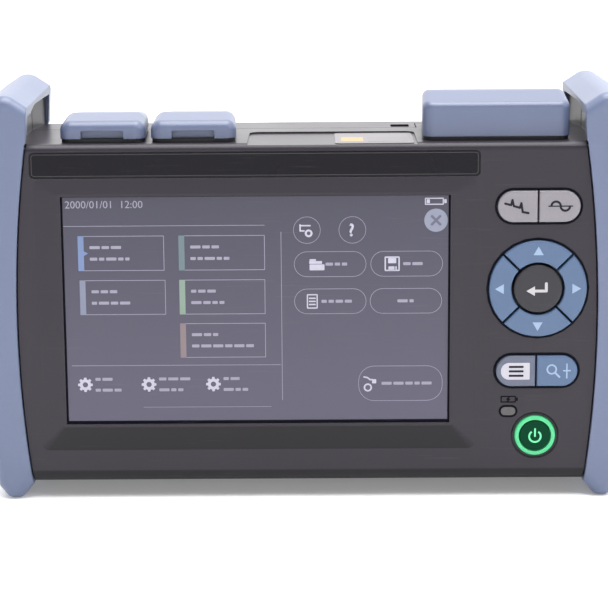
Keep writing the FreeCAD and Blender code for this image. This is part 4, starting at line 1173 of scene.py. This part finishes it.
# ---- prints on the housing
@dataclass(frozen=True)
class HousingPrints:
    """Small prints and inlays on the housing's faces."""

    strip_line: float = 0.22
    strip_margin: float = 0.5
    strip_round: float = 0.9
    sign_rise: float = 2.3
    charge: Drawing = (
        (PANEL, 0, 0, 0, 4.4, 2.0, 0.3, 0.35), (PANEL, 0, 2.5, 0, 0.5, 1.0, 0.1),
        (STROKES, 1, 0, 0, 0.35, (0.3, 0.6), (-0.4, 0), (0.4, 0), (-0.3, -0.6)))
    label_thick: float = 0.05
    label_margin: float = 1.4
    label_line: float = 0.25
    label_round: float = 1.0
    tan_ends: Point = (0.08, 0.36)
    grey_ends: Point = (0.42, 0.92)
    field_place: float = 0.36
    field_share: float = 0.4
    field_round: float = 0.3

    def build(self) -> None:
        """Make the strip's rim, the charge sign and the label's plain blocks."""
        self.strip_rim()
        self.charge_sign()
        self.label_blocks()

    def strip_rim(self) -> None:
        """Fine raised rim of the bare name strip."""
        (low, high), (foot, head) = span("name_strip", 0), span("name_strip", 2)
        plane = FacePlane(span("name_strip", 1)[0] + TRIM_SUNK)
        rim = plane.panel((low + high) / 2, (foot + head) / 2, high - low - self.strip_margin,
                          head - foot - self.strip_margin, self.strip_round, self.strip_line)
        settle([rim], "name_strip_rim", STRIP_RIM, "housing")

    def charge_sign(self) -> None:
        """Small cell and bolt sign over the charge light, dark on the housing."""
        x = middle("charge_light_pipe")[0]
        z = span("charge_light_pipe", 2)[1] + self.sign_rise
        plane = FacePlane(surface_y("front_case", x, z) + SUNK)
        settle(plane.draw(x, z, self.charge), "charge_sign", PRINT_SHADOW, "housing")

    def label_blocks(self) -> None:
        """Plain tan and grey fields in a fine frame on the bare label."""
        (low, high), (front, back) = span("label_plate", 0), span("label_plate", 1)
        top = FacePlane(span("label_plate", 2)[1] - TRIM_SUNK, self.label_thick, Facing.TOP)
        depth = back - front
        y = front + depth * self.field_place
        for name, ends, finish in (("label_tan_field", self.tan_ends, LABEL_TAN),
                                   ("label_grey_field", self.grey_ends, LABEL_GREY)):
            x0, x1 = (low + (high - low) * end for end in ends)
            patch = top.panel((x0 + x1) / 2, y, x1 - x0, depth * self.field_share, self.field_round)
            settle([patch], name, finish, "housing")
        border = top.panel((low + high) / 2, (front + back) / 2, high - low - self.label_margin,
                           depth - self.label_margin, self.label_round, self.label_line)
        settle([border], "label_border", LABEL_GREY, "housing")


# ---- painted shade round the keys
@dataclass(frozen=True)
class KeyShadeRings:
    """Dark rings of painted shade round the key openings and the charge light, where the grooves round
    them lie in shade.
    """

    # widths of the rings of painted shade round the keys and round the charge light
    shade_line: float = 0.5
    light_shade_line: float = 0.4
    overlap: float = 0.05
    wall_depth: float = 1.6
    clear_of_shade_line: float = 1.5
    end_clear: float = 0.02

    def build(self) -> None:
        """Make every ring of painted shade."""
        keypad_x, _, keypad_z = middle("enter_key")
        light_x, _, light_z = middle("charge_light_pipe")
        self.shade_ring("upper_keys_shade_ring", keypad_x, middle("average_key")[2], self.shade_line)
        self.shade_ring("lower_keys_shade_ring", keypad_x, middle("zoom_key")[2], self.shade_line)
        self.shade_ring("arrow_keys_shade_ring", keypad_x, keypad_z, self.shade_line)
        self.shade_ring("charge_light_shade_ring", light_x, light_z, self.light_shade_line)

    def shade_ring(self, name: str, x: float, z: float, width: float) -> None:
        """Make the round-ended ring of painted shade round one opening.

        Args:
            name: name of the piece.
            x: a place inside the opening.
            z: its height.
            width: width of the ring.
        """
        low, high, foot, head = opening("front_case", x, z, self.wall_depth)
        grow = 2 * (width - self.overlap)
        height = head - foot + grow
        plane = FacePlane(surface_y("front_case", x, head + self.clear_of_shade_line * width) + TRIM_SUNK)
        shade_line = plane.panel((low + high) / 2, (foot + head) / 2, high - low + grow, height,
                          height / 2 - self.end_clear, width)
        # ring of painted shade over the groove round the opening
        settle([shade_line], name, DARK_BORDER_AND_SHADE, "housing")


# ---- inside the ports
@dataclass(frozen=True)
class PortDetails:
    """Tongues, contacts and ceramic rings that show when the covers are open."""

    shell_to_tongue: float = 1.0
    tongue_drop: float = 1.0
    tongue_root: float = 1.0
    skin: float = 0.06
    tongue_edge: float = 0.09
    contact_height: float = 5.5
    contact_end: float = 0.4
    contact_proud: float = 0.08
    contact_sunk: float = 0.05
    contact_edge: float = 0.03
    blade: float = 1.8
    contacts: tuple[float, ...] = (-3.5, -1.0, 1.0, 3.5)
    contact_width: float = 1.0
    small_blade: float = 0.8
    small_contacts: tuple[float, ...] = (-1.9, -1.1, -0.3, 0.5, 1.3, 2.1)
    small_contact_width: float = 0.4
    sleeve_radius: float = 1.65
    sleeve_wall: float = 0.35
    square_port_drop: float = 2.5

    def build(self) -> None:
        """Dress the sockets and the two optical ports."""
        self.tongue("usb_socket", self.blade, self.contacts, self.contact_width)
        self.tongue("power_socket", self.small_blade, self.small_contacts, self.small_contact_width)
        self.sleeve("otdr_port_adapter", self.square_port_drop)
        self.sleeve("laser_port_adapter", 0.0)

    def tongue(self, socket: str, thick: float, places: tuple[float, ...], width: float) -> None:
        """Cover the blade of a socket with its plastic tongue and lay the contacts on it.

        Args:
            socket: node of the socket.
            thick: thickness of the blade.
            places: where the contacts lie along the blade.
            width: width of a contact.
        """
        (low, high), (front, back) = span(socket, 0), span(socket, 1)
        x, y = (low + high) / 2, (front + back) / 2
        top = span(socket, 2)[1] - self.tongue_drop + self.skin
        half, inset, height = thick / 2 + self.skin, self.shell_to_tongue - self.skin, self.contact_height
        body = block((low + inset, y - half, top - height - self.tongue_root),
                     (high - inset, y + half, top), self.tongue_edge, 2)
        settle([body], f"{socket}_tongue", BLACK, "housing")
        left = x + places[0] - width / 2
        strip = block((left, y - half - self.contact_proud, top - height),
                      (left + width, y - half + self.contact_sunk, top - self.contact_end),
                      self.contact_edge, 1)
        strips = with_copies(strip, [(place - places[0], 0.0) for place in places[1:]])
        settle(strips, f"{socket}_contacts", CONTACT, "housing")

    def sleeve(self, adapter: str, drop: float) -> None:
        """Make the white ring of the ceramic sleeve round the bore of an optical port.

        Args:
            adapter: node of the adapter.
            drop: how far below the adapter's top the ring lies.
        """
        x, y, _ = middle(adapter)
        plane = FacePlane(span(adapter, 2)[1] - drop - TRIM_SUNK, facing=Facing.TOP)
        ring = plane.disc(x, y, self.sleeve_radius, 48, self.sleeve_wall)
        settle([ring], f"{adapter}_sleeve", CERAMIC, "housing")


# ---- studio
@dataclass(frozen=True)
class Viewpoint:
    """Where the camera stands: in millimetres and degrees."""

    place: tuple[float, float, float] = (3.07, -597.32, 175.11)
    yaw: float = -0.395
    pitch: float = 11.693
    roll: float = -0.430
    lens: float = 121.64
    sensor: float = 36.0

    def build(self) -> None:
        """Make the scene's camera."""
        yaw, pitch, roll = (math.radians(a) for a in (self.yaw, self.pitch, self.roll))
        turn = Matrix.Rotation(-yaw, 4, "Z") @ Matrix.Rotation(math.pi / 2 - pitch, 4, "X")
        turn = turn @ Matrix.Rotation(roll, 4, "Z")
        data = bpy.data.cameras.new("camera")
        data.lens = self.lens
        data.sensor_width = self.sensor
        camera = bpy.data.objects.new("camera", data)
        bpy.context.scene.collection.objects.link(camera)
        camera.matrix_world = Matrix.Translation(Vector(self.place) * MM) @ turn
        bpy.context.scene.camera = camera


@dataclass(frozen=True)
class Lamp:
    """One soft area light, aimed at the instrument; its places and sizes are in metres."""

    name: str
    place: tuple[float, float, float]
    size: Point
    power: float
    aim: tuple[float, float, float] = (0.0, 0.0, 0.05)

    def build(self) -> None:
        """Make the light."""
        data = bpy.data.lights.new(self.name, "AREA")
        data.shape = "RECTANGLE"
        data.size, data.size_y = self.size
        data.energy = self.power
        lamp = bpy.data.objects.new(self.name, data)
        bpy.context.scene.collection.objects.link(lamp)
        lamp.location = self.place
        toward = Vector(self.aim) - Vector(self.place)
        lamp.rotation_euler = toward.to_track_quat("-Z", "Y").to_euler()


@dataclass(frozen=True)
class Backdrop:
    """White surroundings: brightest behind the instrument, dim behind the camera."""

    front: float = 0.2
    back: float = 2.3
    turn_start: float = -0.25
    turn_end: float = 0.55

    def build(self) -> None:
        """Make the world, brighter towards +Y."""
        world = bpy.data.worlds.new("studio")
        bpy.context.scene.world = world
        world.use_nodes = True
        kit = NodeKit(world.node_tree)
        strength = kit.ramp(kit.along("Generated", "Y"), self.turn_start, self.turn_end, self.front,
                            self.back)
        light = kit.add("ShaderNodeBackground", in_Strength=strength)
        kit.add("ShaderNodeOutputWorld", in_Surface=light.outputs[0])


@dataclass(frozen=True)
class Studio:
    """Pale shooting table that glows a little, white surroundings and soft lights."""

    lamps: tuple[Lamp, ...] = (
        Lamp("key_light", (1.0, -0.45, 0.9), (0.8, 0.8), 6.0),
        Lamp("front_light", (0.0, -1.5, 0.45), (1.6, 0.6), 5.0),
        Lamp("top_light", (0.1, -0.05, 1.2), (1.1, 0.9), 25.5),
    )
    table_side: float = 12.0
    table_colour: Colour = (0.96, 0.96, 0.96)
    table_glow: float = 0.2

    def build(self) -> None:
        """Make the table, the surroundings and the lights."""
        deselect()
        bpy.ops.mesh.primitive_plane_add(size=self.table_side, location=(0, 0, 0))
        floor = active()
        floor.name = "studio_floor"
        paper = bpy.data.materials.new("pale_paper")
        paper.use_nodes = True
        kit = NodeKit(paper.node_tree)
        surface = kit.add("ShaderNodeBsdfPrincipled", in_Roughness=0.9, in_Base_Color=self.table_colour,
                          in_Emission_Color=self.table_colour, in_Emission_Strength=self.table_glow,
                          in_Specular_IOR_Level=0.1)
        kit.add("ShaderNodeOutputMaterial", in_Surface=surface.outputs[0])
        floor.data.materials.append(paper)
        Backdrop().build()
        for lamp in self.lamps:
            lamp.build()
        bpy.context.scene.view_settings.view_transform = "Standard"


def main() -> None:
    """Build the studio, then dress the instrument piece by piece."""
    logging.basicConfig(level=logging.INFO, format="%(message)s")
    Viewpoint().build()
    Studio().build()
    dress_nodes()
    for part in (ScreenPicture(), KeyMarks(), HousingPrints(), KeyShadeRings(), PortDetails()):
        LOG.info("building %s", type(part).__name__)
        part.build()


if __name__ == "__main__":
    main()
